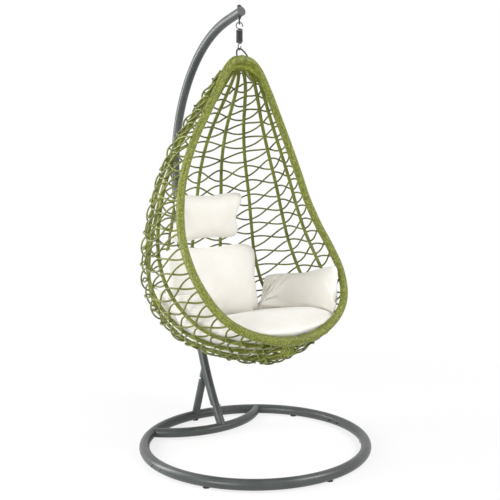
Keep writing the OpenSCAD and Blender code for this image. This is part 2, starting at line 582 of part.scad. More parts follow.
// The angle where a strand or a sheet meets the rim's winding, found by halving
function reach(t, off, low, high, clear, n = 9) = n == 0 ? low : let(a = (low + high) / 2)
    to_rim(shell(t, a) + off * outward(t, a), t) > wrap_r + clear
    ? reach(t, off, a, high, clear, n - 1) : reach(t, off, low, a, clear, n - 1);

// A sheet of the woven shell with a thickness, from rows of angles
module sheet(rows, half_t) let(m = len(rows), cols = len(rows[0][1]), o = m * cols,
    inside = flat([for (r = rows) [for (a = r[1]) shell(r[0], a) - half_t * outward(r[0], a)]]),
    outside = flat([for (r = rows) [for (a = r[1]) shell(r[0], a) + half_t * outward(r[0], a)]]))
    polyhedron(concat(inside, outside), concat(
        flat([for (r = [0:m - 2], c = [0:cols - 2]) let(a = r * cols + c, b = a + 1, d = a + cols, e = d + 1)
            [[a, b, e], [a, e, d], [o + a, o + e, o + b], [o + a, o + d, o + e]]]),
        flat([for (c = [0:cols - 2]) let(a = c, b = c + 1, d = (m - 1) * cols + c, e = d + 1)
            [[b, a, o + a], [b, o + a, o + b], [d, e, o + e], [d, o + e, o + d]]]),
        flat([for (r = [0:m - 2]) let(a = r * cols, d = a + cols, b = a + cols - 1, e = b + cols)
            [[a, d, o + d], [a, o + d, o + a], [e, b, o + b], [e, o + b, o + e]]])), convexity = 6);
function spread(a, b, n) = [for (i = [0:n]) a + (b - a) * i / n];
gap_row = seat_gap / rim_lengths[len(rim_lengths) - 1];
function beside(t, a, l) = a + l / norm(shell(t, a + 0.5) - shell(t, a - 0.5));
cheek_t = 5;
rib_side = rib_corner + seat_gap;
function clear_of_rib(t, a) = a + rib_side / ((shell(t, a + 0.5) - shell(t, a - 0.5)) * across(t, a));
module cheek(t0, t1, rib, side) sheet([for (t = spread(t0, t1, 3)) let(low = clear_of_rib(t, rib),
    high = reach(t, 0, rib, rim_deg, 2)) [t, side > 0 ? spread(low, high, 2) : spread(-high, -low, 2)]], cheek_t);
// The closed woven peak, and the closed corners over the outer ribs
module top_cap() color(RATTAN) hanging() {
    sheet([for (t = [0.012, 0.02, 0.028, 0.036, cap_row]) let(a = reach(t, 0, 0, rim_deg, 2))
        [t, spread(-a, a, 12)]], rib_r);
    for (side = [-1, 1]) cheek(cap_row + gap_row, outer_rib_row, rib_angles[8], side);
}
// The woven pad under the front, where the ribs end
module bottom_pad() color(RATTAN) hanging()
    sheet([for (t = [pad_row + gap_row, 0.975, 0.985, 0.992]) let(a = reach(t, 0, 0, rim_deg, 2))
        [t, spread(-a, a, 12)]], rib_r);
function across(t, a) = unit(cross(downward(t, a), outward(t, a)));
function tie_ring(a) = let(t = cap_row + 0.008, n = outward(t, a), d = downward(t, a),
    p = shell(t, a) - (rib_face + seat_gap + tie_hoop_d / 2 + 0.4) * n)
    [for (j = [0:5]) p + tie_hoop_d / 2 * (cos(60 * j) * n - sin(60 * j) * d)];
module tie_hoop() color(BLACK) hanging() sweep([for (a = spread(-80, 80, 16)) tie_ring(a)]);

// Ribs: six-sided, flat towards the strands that cross them, both ends cut along the rows
function row_way(t, a) = let(v = shell(t, a + 0.5) - shell(t, a - 0.5)) v / (v * across(t, a));
function rib_ring(t, a, c) = let(n = outward(t, a))
    [for (j = [0:5]) shell(t, a) + rib_corner * (cos(60 * j) * c - sin(60 * j) * n)];
module rib(i) let(outer = i == 1 || i == 9, t0 = (outer ? outer_rib_row : cap_row) + gap_row, a = rib_angles[i])
    color(RATTAN) hanging() sweep(concat([rib_ring(t0, a, row_way(t0, a))],
        [for (t = row_knots) if (t > t0 + 0.006 && t < pad_row - 0.002) rib_ring(t, a, across(t, a))],
        [rib_ring(pad_row, a, row_way(pad_row, a))]));
module rib_1() rib(1);
module rib_2() rib(2);
module rib_3() rib(3);
module rib_4() rib(4);
module rib_5() rib(5);
module rib_6() rib(6);
module rib_7() rib(7);
module rib_8() rib(8);
module rib_9() rib(9);

// Weave: two strands to a row wave against each other and cross between the ribs, or on every second
// rib near the peak, one over the other in turn
first_row = 2;
last_row = weave_rows - 2;
function wave(i) = wave_share / weave_rows * min(1, 0.4 + 0.15 * i, 0.55 + 0.1 * (weave_rows - i));
function strand_row(i, e, k, s) = i / weave_rows + s * wave(i)
    * (i <= wide_wave_rows ? cos(30 * k + 180 * e) : cos(60 * k));
function over(i, e, k, s) = (i + e + (s > 0 ? 1 : 0) + (i > wide_wave_rows && k > 3 ? 1 : 0)) % 2 == 0;
function strand_off(i, e, k, s) = strand_base + (over(i, e, k, s)
    && (i <= wide_wave_rows ? k == 3 : k % 3 != 0) ? cross_lift : 0);
function position(p, t) = p == 0 ? -reach(t, strand_base, rib_angles[9], rim_deg, seat_gap)
    : p == 10 ? reach(t, strand_base, rib_angles[9], rim_deg, seat_gap) : rib_angles[p];
function strand_ring(t, a, off) = let(n = outward(t, a), d = downward(t, a), p = shell(t, a) + off * n)
    [for (j = [0:2]) p + strand_r * (cos(120 * j) * n - sin(120 * j) * d)];
function span(i, e, s) = let(t0 = strand_row(i, e, 0, s), t2 = strand_row(i, e, 6, s),
    a0 = beside(t0, position(2 * e, t0), seat_gap / 2), a1 = rib_angles[2 * e + 1],
    a2 = beside(t2, position(2 * e + 2, t2), -seat_gap / 2))
    [for (k = [0:6]) strand_ring(strand_row(i, e, k, s), k < 3 ? a0 + (a1 - a0) * k / 3
        : a1 + (a2 - a1) * (k - 3) / 3, strand_off(i, e, k, s))];
module weave(e) color(RATTAN_DARK) hanging()
    many_sweeps([for (i = [first_row:last_row], s = [-1, 1]) span(i, e, s)]);
module weave_left_front() weave(0);
module weave_left_back() weave(1);
module weave_back() weave(2);
module weave_right_back() weave(3);
module weave_right_front() weave(4);

// Cushions: a crowned back and front that meet in a seam, edges lifted to lie in the basket
cushion_sides = 24;
crown_steps = [0.25, 0.5, 0.72, 0.88, 0.965];
function cushion_ring(w, h, t, square, draw, lift, share, side) =
    [for (i = [0:cushion_sides - 1]) let(a = 360 * i / cushion_sides,
        q = pow(pow(abs(cos(a)), square) + pow(abs(sin(a)), square), -1 / square),
        r = q * share * (1 - draw * cos(2 * a) * cos(2 * a)), x = r * cos(a), y = r * sin(a))
        [w / 2 * x, h / 2 * y, lift[0] * x * x + lift[1] * y * y
            + side * t / 2 * pow(max(0, 1 - pow(share, 2.4)), 0.6)]];
module cushion(w, h, t, square, draw, lift) sweep(concat(
    [for (c = crown_steps) cushion_ring(w, h, t, square, draw, lift, c, -1)],
    [cushion_ring(w, h, t, square, draw, lift, 1, 0)],
    [for (i = [len(crown_steps) - 1:-1:0]) cushion_ring(w, h, t, square, draw, lift, crown_steps[i], 1)]));
module in_basket(x, forward, up, turn) translate([x, -forward, under_z + up * basket_h]) rotate(turn) children();
module seat_cushion() color(CREAM) hanging()
    translate([0, 0, rib_corner + seat_gap + seat_t / 2]) in_basket(0, 0.161 * front_reach, 0.01, [0, 0, 0])
        cushion(seat_w, seat_depth, seat_t, 2.5, 0.03, [26, 14]);
module back_cushion() color(CREAM) hanging()
    in_basket(12, back_t / 2 - 0.957 * back_reach, 0.2435, [84, 0, 0])
        cushion(back_w, back_h, back_t, 3.4, cushion_draw, [10, 0]);
module head_pillow() color(CREAM) hanging()
    in_basket(10, head_t / 2 - 0.8815 * back_reach, 0.4645, [96, 0, 0])
        cushion(head_w, head_h, head_t, 3.6, cushion_draw, [8, 0]);
module arm_pillow() in_basket(0.509 * rim_w - arm_t / 2, 0.161 * front_reach, 0.2011, [77, 0, -90])
    cushion(arm_w, arm_h, arm_t, 3.6, cushion_draw, [22, 0]);
module arm_pillow_left() color(CREAM) hanging() mirror([1, 0, 0]) arm_pillow();
module arm_pillow_right() color(CREAM) hanging() arm_pillow();

ring_front_half();
ring_rear_half();
ring_sleeves();
ring_bolts();
ring_glides();
crossbar();
pole_spigot();
foot_bolt();
lower_pole();
pole_sleeve();
pole_joint_bolts();
upper_pole();
rear_leg();
rear_leg_stub();
rear_leg_bolt();
arm_end_cap();
arm_saddles();
eye_bolt();
eye_nut();
spring_top_hook();
spring_coil();
spring_bottom_hook();
bail();
rim_core();
rim_wrap_left();
rim_wrap_right();
top_cap();
tie_hoop();
rib_1();
rib_2();
rib_3();
rib_4();
rib_5();
rib_6();
rib_7();
rib_8();
rib_9();
weave_left_front();
weave_left_back();
weave_back();
weave_right_back();
weave_right_front();
bottom_pad();
seat_cushion();
back_cushion();
head_pillow();
arm_pillow_left();
arm_pillow_right();
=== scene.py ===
# %% [markdown]
# # A hanging egg chair
# The chair is a basket of wound ribs and woven strands that hangs by a spring from a bowed pole.
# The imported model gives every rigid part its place. This script adds what a camera sees: the
# winding of the ribs, the plaited edge, the strands, the soft cushions, and the finishes.

# %% Load the frame
import json
import math

import bmesh
import bpy
import numpy as np
from mathutils import Matrix, Vector
from mathutils.bvhtree import BVHTree
from mathutils.kdtree import KDTree

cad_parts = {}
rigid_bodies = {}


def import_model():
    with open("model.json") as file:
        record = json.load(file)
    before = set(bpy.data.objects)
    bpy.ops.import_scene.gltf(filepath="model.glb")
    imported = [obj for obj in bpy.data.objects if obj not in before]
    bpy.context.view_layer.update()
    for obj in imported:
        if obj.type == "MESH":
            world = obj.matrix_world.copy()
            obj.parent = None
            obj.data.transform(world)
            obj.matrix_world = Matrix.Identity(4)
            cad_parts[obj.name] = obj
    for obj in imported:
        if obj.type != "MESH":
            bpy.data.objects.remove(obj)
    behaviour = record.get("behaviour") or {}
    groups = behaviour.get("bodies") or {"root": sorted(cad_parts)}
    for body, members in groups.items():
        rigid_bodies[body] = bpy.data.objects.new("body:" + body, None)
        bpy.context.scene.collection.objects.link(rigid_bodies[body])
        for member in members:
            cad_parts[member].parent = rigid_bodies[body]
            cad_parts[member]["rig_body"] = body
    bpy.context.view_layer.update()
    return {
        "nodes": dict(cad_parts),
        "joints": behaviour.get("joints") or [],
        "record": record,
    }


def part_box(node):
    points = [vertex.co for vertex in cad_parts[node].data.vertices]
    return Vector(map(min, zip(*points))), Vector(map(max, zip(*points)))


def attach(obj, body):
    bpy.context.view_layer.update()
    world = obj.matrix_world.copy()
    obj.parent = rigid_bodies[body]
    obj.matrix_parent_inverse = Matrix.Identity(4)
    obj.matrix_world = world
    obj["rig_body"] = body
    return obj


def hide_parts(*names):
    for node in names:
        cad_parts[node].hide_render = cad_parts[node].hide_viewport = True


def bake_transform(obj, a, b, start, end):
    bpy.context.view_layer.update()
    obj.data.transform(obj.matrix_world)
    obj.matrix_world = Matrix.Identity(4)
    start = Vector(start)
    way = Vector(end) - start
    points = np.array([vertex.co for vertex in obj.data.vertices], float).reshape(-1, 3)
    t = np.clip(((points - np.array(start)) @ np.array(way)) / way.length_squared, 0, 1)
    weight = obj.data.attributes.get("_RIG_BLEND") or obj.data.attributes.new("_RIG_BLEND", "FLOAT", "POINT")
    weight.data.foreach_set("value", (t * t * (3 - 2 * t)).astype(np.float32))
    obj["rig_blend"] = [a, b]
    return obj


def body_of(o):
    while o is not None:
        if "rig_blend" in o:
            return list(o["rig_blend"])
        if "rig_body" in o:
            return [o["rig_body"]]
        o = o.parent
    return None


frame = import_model()
nodes = frame["nodes"]

# %% [markdown]
# ## Camera
# The picture was taken from the front left, a little above the seat. A long lens keeps the ring's
# ellipse shallow. The place and the turn were fitted to the base ring, so they are set as numbers.

# %% Camera
CAMERA_AT = Vector((-2.1606, -2.9436, 1.286))
CAMERA_FORWARD = Vector((0.5944, 0.7972, -0.1052)).normalized()
CAMERA_ROLL = -0.0062
LENS_MM = 58.35
SENSOR_MM = 36
camera = bpy.data.objects.new("camera", bpy.data.cameras.new("camera"))
bpy.context.scene.collection.objects.link(camera)
camera.data.lens = LENS_MM
camera.data.sensor_width = SENSOR_MM
level_right = CAMERA_FORWARD.cross(Vector((0, 0, 1))).normalized()
level_up = level_right.cross(CAMERA_FORWARD)
right = math.cos(CAMERA_ROLL) * level_right + math.sin(CAMERA_ROLL) * level_up
up = math.cos(CAMERA_ROLL) * level_up - math.sin(CAMERA_ROLL) * level_right
turn = Matrix((right, up, -CAMERA_FORWARD)).transposed()
camera.matrix_world = Matrix.Translation(CAMERA_AT) @ turn.to_4x4()
bpy.context.scene.camera = camera
bpy.context.scene.view_settings.view_transform = "Standard"
print("camera", tuple(camera.location))

# %% [markdown]
# ## Node helpers
# Materials and Geometry Nodes are both graphs. A small class adds a node, sets its values and
# links its inputs in one call, so the graphs below read from the inside out.


# %% Node helpers
class Graph:
    """A node tree with short ways to add nodes and to link them."""

    def __init__(self, tree):
        self.tree = tree

    def add(self, kind, inputs=None, **settings):
        node = self.tree.nodes.new(kind)
        for name, value in settings.items():
            setattr(node, name, value)
        for name, value in (inputs or {}).items():
            self.feed(node.inputs[name], value)
        return node

    def feed(self, socket, value):
        if isinstance(value, bpy.types.NodeSocket):
            self.tree.links.new(value, socket)
        elif isinstance(value, bpy.types.Node):
            self.tree.links.new(value.outputs[0], socket)
        else:
            socket.default_value = value

    def math(self, operation, *values):
        node = self.add("ShaderNodeMath", operation=operation)
        for socket, value in zip(node.inputs, values):
            self.feed(socket, value)
        return node.outputs[0]

    def plus(self, base, value, share):
        """The base plus a share of the value."""
        return self.math("ADD", base, self.math("MULTIPLY", value, share))

    def mixture(self, first, first_share, second, second_share):
        return self.plus(self.math("MULTIPLY", first, first_share), second, second_share)

    def scaled(self, vector, factor):
        return self.add("ShaderNodeVectorMath", {0: vector, "Scale": factor}, operation="SCALE").outputs[0]


def geometry_tree(name, sizes):
    """A tree whose inputs are the geometry, the sizes with their usual values, and the material."""
    tree = bpy.data.node_groups.new(name, "GeometryNodeTree")
    tree.interface.new_socket("Geometry", in_out="INPUT", socket_type="NodeSocketGeometry")
    for label, value in sizes.items():
        kind = "NodeSocketInt" if isinstance(value, int) else "NodeSocketFloat"
        tree.interface.new_socket(label, in_out="INPUT", socket_type=kind).default_value = value
    tree.interface.new_socket("Material", in_out="INPUT", socket_type="NodeSocketMaterial")
    tree.interface.new_socket("Geometry", in_out="OUTPUT", socket_type="NodeSocketGeometry")
    graph = Graph(tree)
    graph.given = graph.add("NodeGroupInput").outputs
    return graph


def finish_tree(graph, geometry):
    """The end that every tree has: smooth faces, no instances, and the piece's own material."""
    soft = graph.add("GeometryNodeSetShadeSmooth", {"Geometry": geometry})
    solid = graph.add("GeometryNodeRealizeInstances", {"Geometry": soft})
    painted = graph.add("GeometryNodeSetMaterial", {"Geometry": solid, "Material": graph.given["Material"]})
    graph.add("NodeGroupOutput", {0: painted})
    print(graph.tree.name, "nodes", len(graph.tree.nodes))


def new_object(name, mesh):
    piece = bpy.data.objects.new(name, mesh)
    bpy.context.scene.collection.objects.link(piece)
    return piece


def baked(piece):
    """The plain mesh that an object's modifiers give."""
    depsgraph = bpy.context.evaluated_depsgraph_get()
    return bpy.data.meshes.new_from_object(piece.evaluated_get(depsgraph), depsgraph=depsgraph)


def run_tree(name, base, graph, values):
    """Runs a tree on a mesh and keeps only the plain mesh that it gives."""
    source = new_object(name + "_path", base)
    modifier = source.modifiers.new("made", "NODES")
    modifier.node_group = graph.tree
    for item in graph.tree.interface.items_tree:
        if item.in_out == "INPUT" and item.name in values:
            modifier[item.identifier] = values[item.name]
    mesh = baked(source)
    bpy.data.objects.remove(source)
    piece = new_object(name, mesh)
    mesh.name = name
    print(name, "faces", len(mesh.polygons))
    return piece


def lines_mesh(name, lines, closed=False, radius=None):
    """A mesh of loose edges, one chain for each list of points."""
    points = [point for line in lines for point in line]
    edges = []
    start = 0
    for line in lines:
        last = len(line) - 1
        edges += [(start + i, start + i + 1) for i in range(last)]
        if closed:
            edges.append((start + last, start))
        start += len(line)
    mesh = bpy.data.meshes.new(name)
    mesh.from_pydata([tuple(point) for point in points], edges, [])
    if radius is not None:
        thickness = mesh.attributes.new("thickness", "FLOAT", "POINT")
        thickness.data.foreach_set("value", np.array(radius, np.float32))
    return mesh


print("helpers ready")

# %% [markdown]
# ## Finishes
# Resin wicker is extruded plastic: it has fine streaks along its length, a soft shine, and small
# changes of green from place to place. The tubes are steel under a dark powder coat with a fine
# orange-peel skin, the bolts are brushed zinc, and the cushions are a cream canvas with a plain
# weave. Pictures could be laid on as textures, but they blur close up and repeat. Here noise, a
# colour ramp and a bump make each finish, at the scale that the real one has.

# %% Finishes
THREAD = 0.0022


def shader(name):
    material = bpy.data.materials.new(name)
    material.use_nodes = True
    graph = Graph(material.node_tree)
    graph.surface = material.node_tree.nodes["Principled BSDF"]
    graph.material = material
    graph.place = graph.add("ShaderNodeTexCoord").outputs["Object"]
    return graph


def dress(graph, values):
    """Sets sockets of the surface shader, to plain values or from other nodes."""
    for name, value in values.items():
        graph.feed(graph.surface.inputs[name], value)


def attribute(graph, name, output="Fac"):
    return graph.add("ShaderNodeAttribute", attribute_name=name).outputs[output]


def ramp(graph, factor, stops):
    node = graph.add("ShaderNodeValToRGB", {"Fac": factor})
    elements = node.color_ramp.elements
    while len(elements) < len(stops):
        elements.new(0.5)
    for element, (position, colour) in zip(elements, stops):
        element.position = position
        element.color = (*colour, 1)
    return node.outputs["Color"]


def noise(graph, scale, detail=3.0, roughness=0.5, place=None):
    """Soft noise by the place on the object, or by another place that is given."""
    place = graph.place if place is None else place
    return graph.add("ShaderNodeTexNoise", {"Vector": place, "Scale": scale, "Detail": detail,
                                            "Roughness": roughness}).outputs["Fac"]


def wheel(graph, share):
    """The cosine and sine of a share of a turn: they run on evenly where the turn closes."""
    ring = graph.math("MULTIPLY", share, 2 * math.pi)
    return {"X": graph.math("COSINE", ring), "Y": graph.math("SINE", ring)}


def bump(graph, height, distance, strength):
    node = graph.add("ShaderNodeBump", {"Height": height, "Distance": distance, "Strength": strength})
    dress(graph, {"Normal": node})


def wicker(name, dark, mid, light, streaks, rough, painted_groove_shade=1.0):
    """Resin wicker: streaks along the strand, a drifting green, and painted shade in a winding's grooves."""
    graph = shader(name)
    run = graph.math("MULTIPLY", attribute(graph, "along"), 3.0)
    lane = graph.add("ShaderNodeCombineXYZ", {**wheel(graph, attribute(graph, "around")), "Z": run})
    fine = noise(graph, streaks, place=lane)
    mixed = graph.mixture(fine, 0.6, noise(graph, 14.0, 2.0), 0.4)
    colour = ramp(graph, mixed, [(0.34, dark), (0.5, mid), (0.68, light)])
    # Painted shade: the colour is darkened in the grooves between turns, and painted a little lighter on the
    # crowns.
    if painted_groove_shade < 1:
        colour = graph.scaled(colour, graph.plus(painted_groove_shade, attribute(graph, "height"), 1.1 - painted_groove_shade))
    dress(graph, {"Base Color": colour, "Roughness": rough, "Specular IOR Level": 0.4})
    bump(graph, fine, 0.0004, 0.6)
    return graph.material


def powder_coat(name, colour, pale, rough, grain):
    """Steel under baked powder: a fine orange-peel skin and a shine that drifts a little."""
    graph = shader(name)
    dress(graph, {"Base Color": ramp(graph, noise(graph, 9.0, 4.0), [(0.3, colour), (0.75, pale)]),
                  "Roughness": graph.plus(rough - 0.03, noise(graph, 12.0, 2.0), 0.06)})
    bump(graph, noise(graph, grain, 2.0), 0.0001, 0.05)
    return graph.material


def zinc(name):
    """Brushed zinc, with its streaks drawn out upwards."""
    graph = shader(name)
    drawn_out = graph.add("ShaderNodeMapping", {"Vector": graph.place, "Scale": (1.0, 1.0, 0.12)})
    brushed = noise(graph, 180.0, 3.0, 0.6, drawn_out)
    dress(graph, {"Base Color": ramp(graph, brushed, [(0.3, (0.42, 0.43, 0.45)), (0.7, (0.66, 0.67, 0.69))]),
                  "Metallic": 1.0, "Roughness": graph.plus(0.22, brushed, 0.2)})
    bump(graph, brushed, 0.0001, 0.4)
    return graph.material


def plastic(name, colour):
    """Moulded plastic with a fine grain."""
    graph = shader(name)
    drift = noise(graph, 60.0, 4.0)
    pale = tuple(c * 1.5 + 0.01 for c in colour)
    dress(graph, {"Base Color": ramp(graph, drift, [(0.3, colour), (0.8, pale)]),
                  "Roughness": graph.plus(0.4, drift, 0.15)})
    bump(graph, noise(graph, 900.0), 0.0001, 0.4)
    return graph.material


def canvas(name, shade, light):
    """Plain-woven canvas: threads over and under, read from the cushion's own UV map."""
    graph = shader(name)
    cloth = graph.add("ShaderNodeUVMap", uv_map="cloth").outputs["UV"]
    parts = graph.add("ShaderNodeSeparateXYZ", {"Vector": cloth}).outputs
    threads = [graph.math("SINE", graph.math("MULTIPLY", parts[axis], 2 * math.pi / THREAD)) for axis in "XY"]
    slubs = noise(graph, 260.0, 4.0, 0.6)
    creases = noise(graph, 22.0, 3.0, 0.55)
    tone = graph.mixture(noise(graph, 6.0, 3.0), 0.7, slubs, 0.3)
    dress(graph, {"Base Color": ramp(graph, tone, [(0.3, shade), (0.62, light)]), "Roughness": 0.9,
                  "Specular IOR Level": 0.2, "Sheen Weight": 0.25, "Sheen Roughness": 0.5})
    height = graph.mixture(graph.math("MULTIPLY", *threads), 0.12, creases, 3.0)
    bump(graph, graph.plus(height, slubs, 0.25), 0.0012, 0.5)
    return graph.material


# The wound ribs get painted shade in the grooves of their winding.
wound_green = wicker("wound_green", (0.075, 0.088, 0.006), (0.158, 0.178, 0.015), (0.275, 0.30, 0.045),
                     streaks=5.0, rough=0.42, painted_groove_shade=0.55)
plait_green = wicker("plait_green", (0.11, 0.13, 0.008), (0.23, 0.26, 0.022), (0.40, 0.43, 0.09),
                     streaks=6.0, rough=0.4)
strand_green = wicker("strand_green", (0.045, 0.058, 0.005), (0.125, 0.145, 0.015), (0.28, 0.31, 0.065),
                      streaks=4.0, rough=0.3)
dark_coat = powder_coat("dark_coat", (0.043, 0.05, 0.047), (0.072, 0.08, 0.075), rough=0.35, grain=900.0)
black_coat = powder_coat("black_coat", (0.016, 0.017, 0.017), (0.03, 0.031, 0.03), rough=0.4, grain=1200.0)
bright_zinc = zinc("bright_zinc")
black_plastic = plastic("black_plastic", (0.012, 0.012, 0.013))
cream_canvas = canvas("cream_canvas", (0.82, 0.785, 0.72), (0.90, 0.88, 0.84))
coat_of = {"stand_steel": dark_coat, "black_steel": black_coat, "bright_steel": bright_zinc,
           "black_plastic": black_plastic, "rattan": wound_green, "strand": strand_green,
           "cushion_cloth": cream_canvas}
matt_coat = powder_coat("matt_coat", (0.045, 0.051, 0.049), (0.066, 0.073, 0.07), rough=0.6, grain=900.0)
for row in frame["record"]["subparts"]:
    mesh = nodes[row["node"]].data
    mesh.materials.clear()
    mesh.materials.append(coat_of[row["material_slot"]])
# The cap on the arm's end is matt, and the bolts in the ring are coated like the ring.
for name, coat in (("arm_end_cap", matt_coat), ("ring_bolts", dark_coat)):
    nodes[name].data.materials[0] = coat
print("finishes", sorted(coat_of))

# %% [markdown]
# ## The basket's shell
# Two curves give the basket its shape: the edge of the mouth, and the rib down the middle of the
# back. A row joins the two at equal shares of their lengths, as an arc of an ellipse. Every rib
# and strand below lies on this shell or stands a little off it, so they all meet.

# %% The basket's shell
BASKET_H = 1.321
RIM_W = 0.848
REACH = 0.372
WEAVE_ROWS = 26
BULGE = math.radians(23.5)
CORE_R = 0.009
WRAP_R = 0.018
# The edge of the mouth from the peak to the bottom: shares of its reach, height and half width.
RIM_SHARES = [(0.05, 1, 0), (0.065, 0.973, 0.193), (0.07, 0.907, 0.334), (0.065, 0.843, 0.448),
              (0.05, 0.737, 0.637), (0.073, 0.623, 0.797), (0.134, 0.525, 0.889), (0.255, 0.434, 0.96),
              (0.433, 0.351, 1), (0.63, 0.27, 0.981), (0.804, 0.19, 0.863), (0.914, 0.135, 0.637),
              (0.978, 0.101, 0.318), (1, 0.09, 0)]
# The middle of the back from the top to under the front: shares of the reach and of the height.
BACK_SHARES = [(-0.005, 0.994), (0.25, 0.888), (0.546, 0.774), (0.745, 0.661), (0.86, 0.532),
               (0.946, 0.396), (1, 0.275), (0.9, 0.154), (0.511, 0.059), (0, 0.01), (-0.511, 0.001),
               (-0.941, 0.039)]
swing = next(joint for joint in frame["joints"] if joint["name"] == "swing")
hook = Vector((swing["pos_m"][0], swing["pos_m"][1], 0))
core_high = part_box("rim_core")[1]
PEAK_Z = core_high.z - CORE_R
UNDER_Z = PEAK_Z - BASKET_H
BASKET_TURN = math.atan2(-swing["axis"][1], -swing["axis"][0])
RIB_ANGLES = [-92.5, -74.5, -46.5, -22, 0, 22, 46.5, 74.5, 92.5]
RIM_DEG = 90 + math.degrees(BULGE)
NORMAL_STEP = 0.012


def smooth(points, steps=24):
    """A curve through all the points, with even turns between them."""
    points = np.array(points, float)
    points = np.vstack([2 * points[0] - points[1], points, 2 * points[-1] - points[-2]])
    t = np.arange(steps)[:, None] / steps
    out = []
    for i in range(1, len(points) - 2):
        a, b, c, d = points[i - 1:i + 3]
        out.append(0.5 * (2 * b + (c - a) * t + (2 * a - 5 * b + 4 * c - d) * t ** 2
                          + (3 * b - a - 3 * c + d) * t ** 3))
    return np.vstack(out + [points[-2:-1]])


def lengths_of(curve):
    return np.r_[0, np.cumsum(np.linalg.norm(np.diff(curve, axis=0), axis=1))]


def at_share(curve, share):
    lengths = lengths_of(curve)
    return np.stack([np.interp(np.asarray(share) * lengths[-1], lengths, curve[:, k]) for k in range(3)], -1)


rim_curve = smooth([(w * RIM_W / 2, -s * REACH, UNDER_Z + h * BASKET_H) for s, h, w in RIM_SHARES])
back_curve = smooth([(0, s * REACH, UNDER_Z + h * BASKET_H) for s, h in BACK_SHARES])
ROW = lengths_of(rim_curve)[-1]


def shell(t, angle):
    """Points of the shell at row shares t and angles in degrees, in the hanging frame."""
    t, angle = np.broadcast_arrays(np.asarray(t, float), np.radians(np.asarray(angle, float)))
    rim, back = at_share(rim_curve, t), at_share(back_curve, t)
    middle = rim * [0, 1, 1]
    gap = np.linalg.norm(back - middle, axis=-1)
    inward = (back - middle) / gap[..., None]
    deep = gap / (1 + math.sin(BULGE))
    point = middle + inward * (deep * (math.sin(BULGE) + np.cos(angle)))[..., None]
    point[..., 0] += rim[..., 0] / math.cos(BULGE) * np.sin(angle)
    return point


def unit(vectors):
    return vectors / np.linalg.norm(vectors, axis=-1, keepdims=True)


def outward(t, angle):
    """The way out of the shell, square to it."""
    t = np.clip(np.asarray(t, float), NORMAL_STEP, 0.985)
    across = shell(t, np.asarray(angle) + 0.5) - shell(t, np.asarray(angle) - 0.5)
    down = shell(t + NORMAL_STEP, angle) - shell(t - NORMAL_STEP, angle)
    return unit(np.cross(across, down))


def hang(points):
    """From the basket's own frame to the object's: turned and moved under the hook."""
    c, s = math.cos(BASKET_TURN), math.sin(BASKET_TURN)
    points = np.asarray(points, float)
    return np.stack([c * points[..., 0] - s * points[..., 1] + hook.x,
                     s * points[..., 0] + c * points[..., 1] + hook.y, points[..., 2]], -1)


rim_fine = at_share(rim_curve, np.linspace(0, 1, 400))


def rim_distance(points):
    """How far points are from the rim's centre line; both halves are mirror images."""
    points = np.abs(np.asarray(points) * [1, 0, 0]) + np.asarray(points) * [0, 1, 1]
    return np.linalg.norm(points[..., None, :] - rim_fine, axis=-1).min(-1)


def reach(t, off, clear, low=60.0):
    """The angle at which something standing off the shell meets the wound rim."""
    t = np.atleast_1d(np.asarray(t, float))
    a = np.full(t.shape, low)
    b = np.full(t.shape, RIM_DEG)
    for _ in range(12):
        middle = (a + b) / 2
        free = rim_distance(shell(t, middle) + off * outward(t, middle)) > WRAP_R + clear
        a = np.where(free, middle, a)
        b = np.where(free, b, middle)
    return a


print("turn", round(math.degrees(BASKET_TURN), 3), "peak", round(PEAK_Z, 4), "rim length", round(ROW, 3))

# %% [markdown]
# ## Wound ribs
# A flat strip is wound round each steel rib, turn against turn. The winding could be a separate
# strip in a long helix, but a tube whose radius rises and falls along that helix looks the same
# and stays one closed shell. A tree does it: the path becomes a tube, and each point moves out by
# a height that depends on its place along the rib and around it. The parts of the tree are
# functions, because the plaited edge and the strands are tubes too.


# %% Parts of a tube's tree
def store(graph, geometry, name, value, kind="FLOAT"):
    """Keeps a value at every point, for the nodes that follow and for the finish."""
    return graph.add("GeometryNodeStoreNamedAttribute", {"Geometry": geometry, "Name": name, "Value": value},
                     data_type=kind, domain="POINT")


def stored(graph, name):
    return graph.add("GeometryNodeInputNamedAttribute", {"Name": name}).outputs["Attribute"]


def spline(graph, output):
    return graph.add("GeometryNodeSplineParameter").outputs[output]


def given_path(graph):
    return graph.add("GeometryNodeMeshToCurve", {"Mesh": graph.given["Geometry"]})


def stepped(graph, curve, length):
    """The path in even steps, with the length up to each point kept as along."""
    steps = graph.add("GeometryNodeResampleCurve", {"Curve": curve, "Length": length}, mode="LENGTH")
    return store(graph, steps, "along", spline(graph, "Length"))


def section(graph):
    """The round section, with the share of a turn at each point kept as around."""
    circle = graph.add("GeometryNodeCurvePrimitiveCircle", {"Resolution": graph.given["Sides"],
                                                            "Radius": graph.given["Radius"]})
    return store(graph, circle, "around", spline(graph, "Factor"))


def swept(graph, curve, profile):
    return graph.add("GeometryNodeCurveToMesh", {"Curve": curve, "Profile Curve": profile, "Fill Caps": True})


def hump(graph, phase):
    """A rounded hump from 0 to 1 and back for each whole step of the phase."""
    return graph.math("ABSOLUTE", graph.math("SINE", graph.math("MULTIPLY", phase, math.pi)))


def raised(graph, geometry, height):
    """Moves each point outwards, by a height from 0 to 1 times the tree's relief."""
    normal = graph.add("GeometryNodeInputNormal").outputs["Normal"]
    offset = graph.scaled(normal, graph.math("MULTIPLY", height, graph.given["Relief"]))
    return graph.add("GeometryNodeSetPosition", {"Geometry": geometry, "Offset": offset})


print("parts of the tree ready")

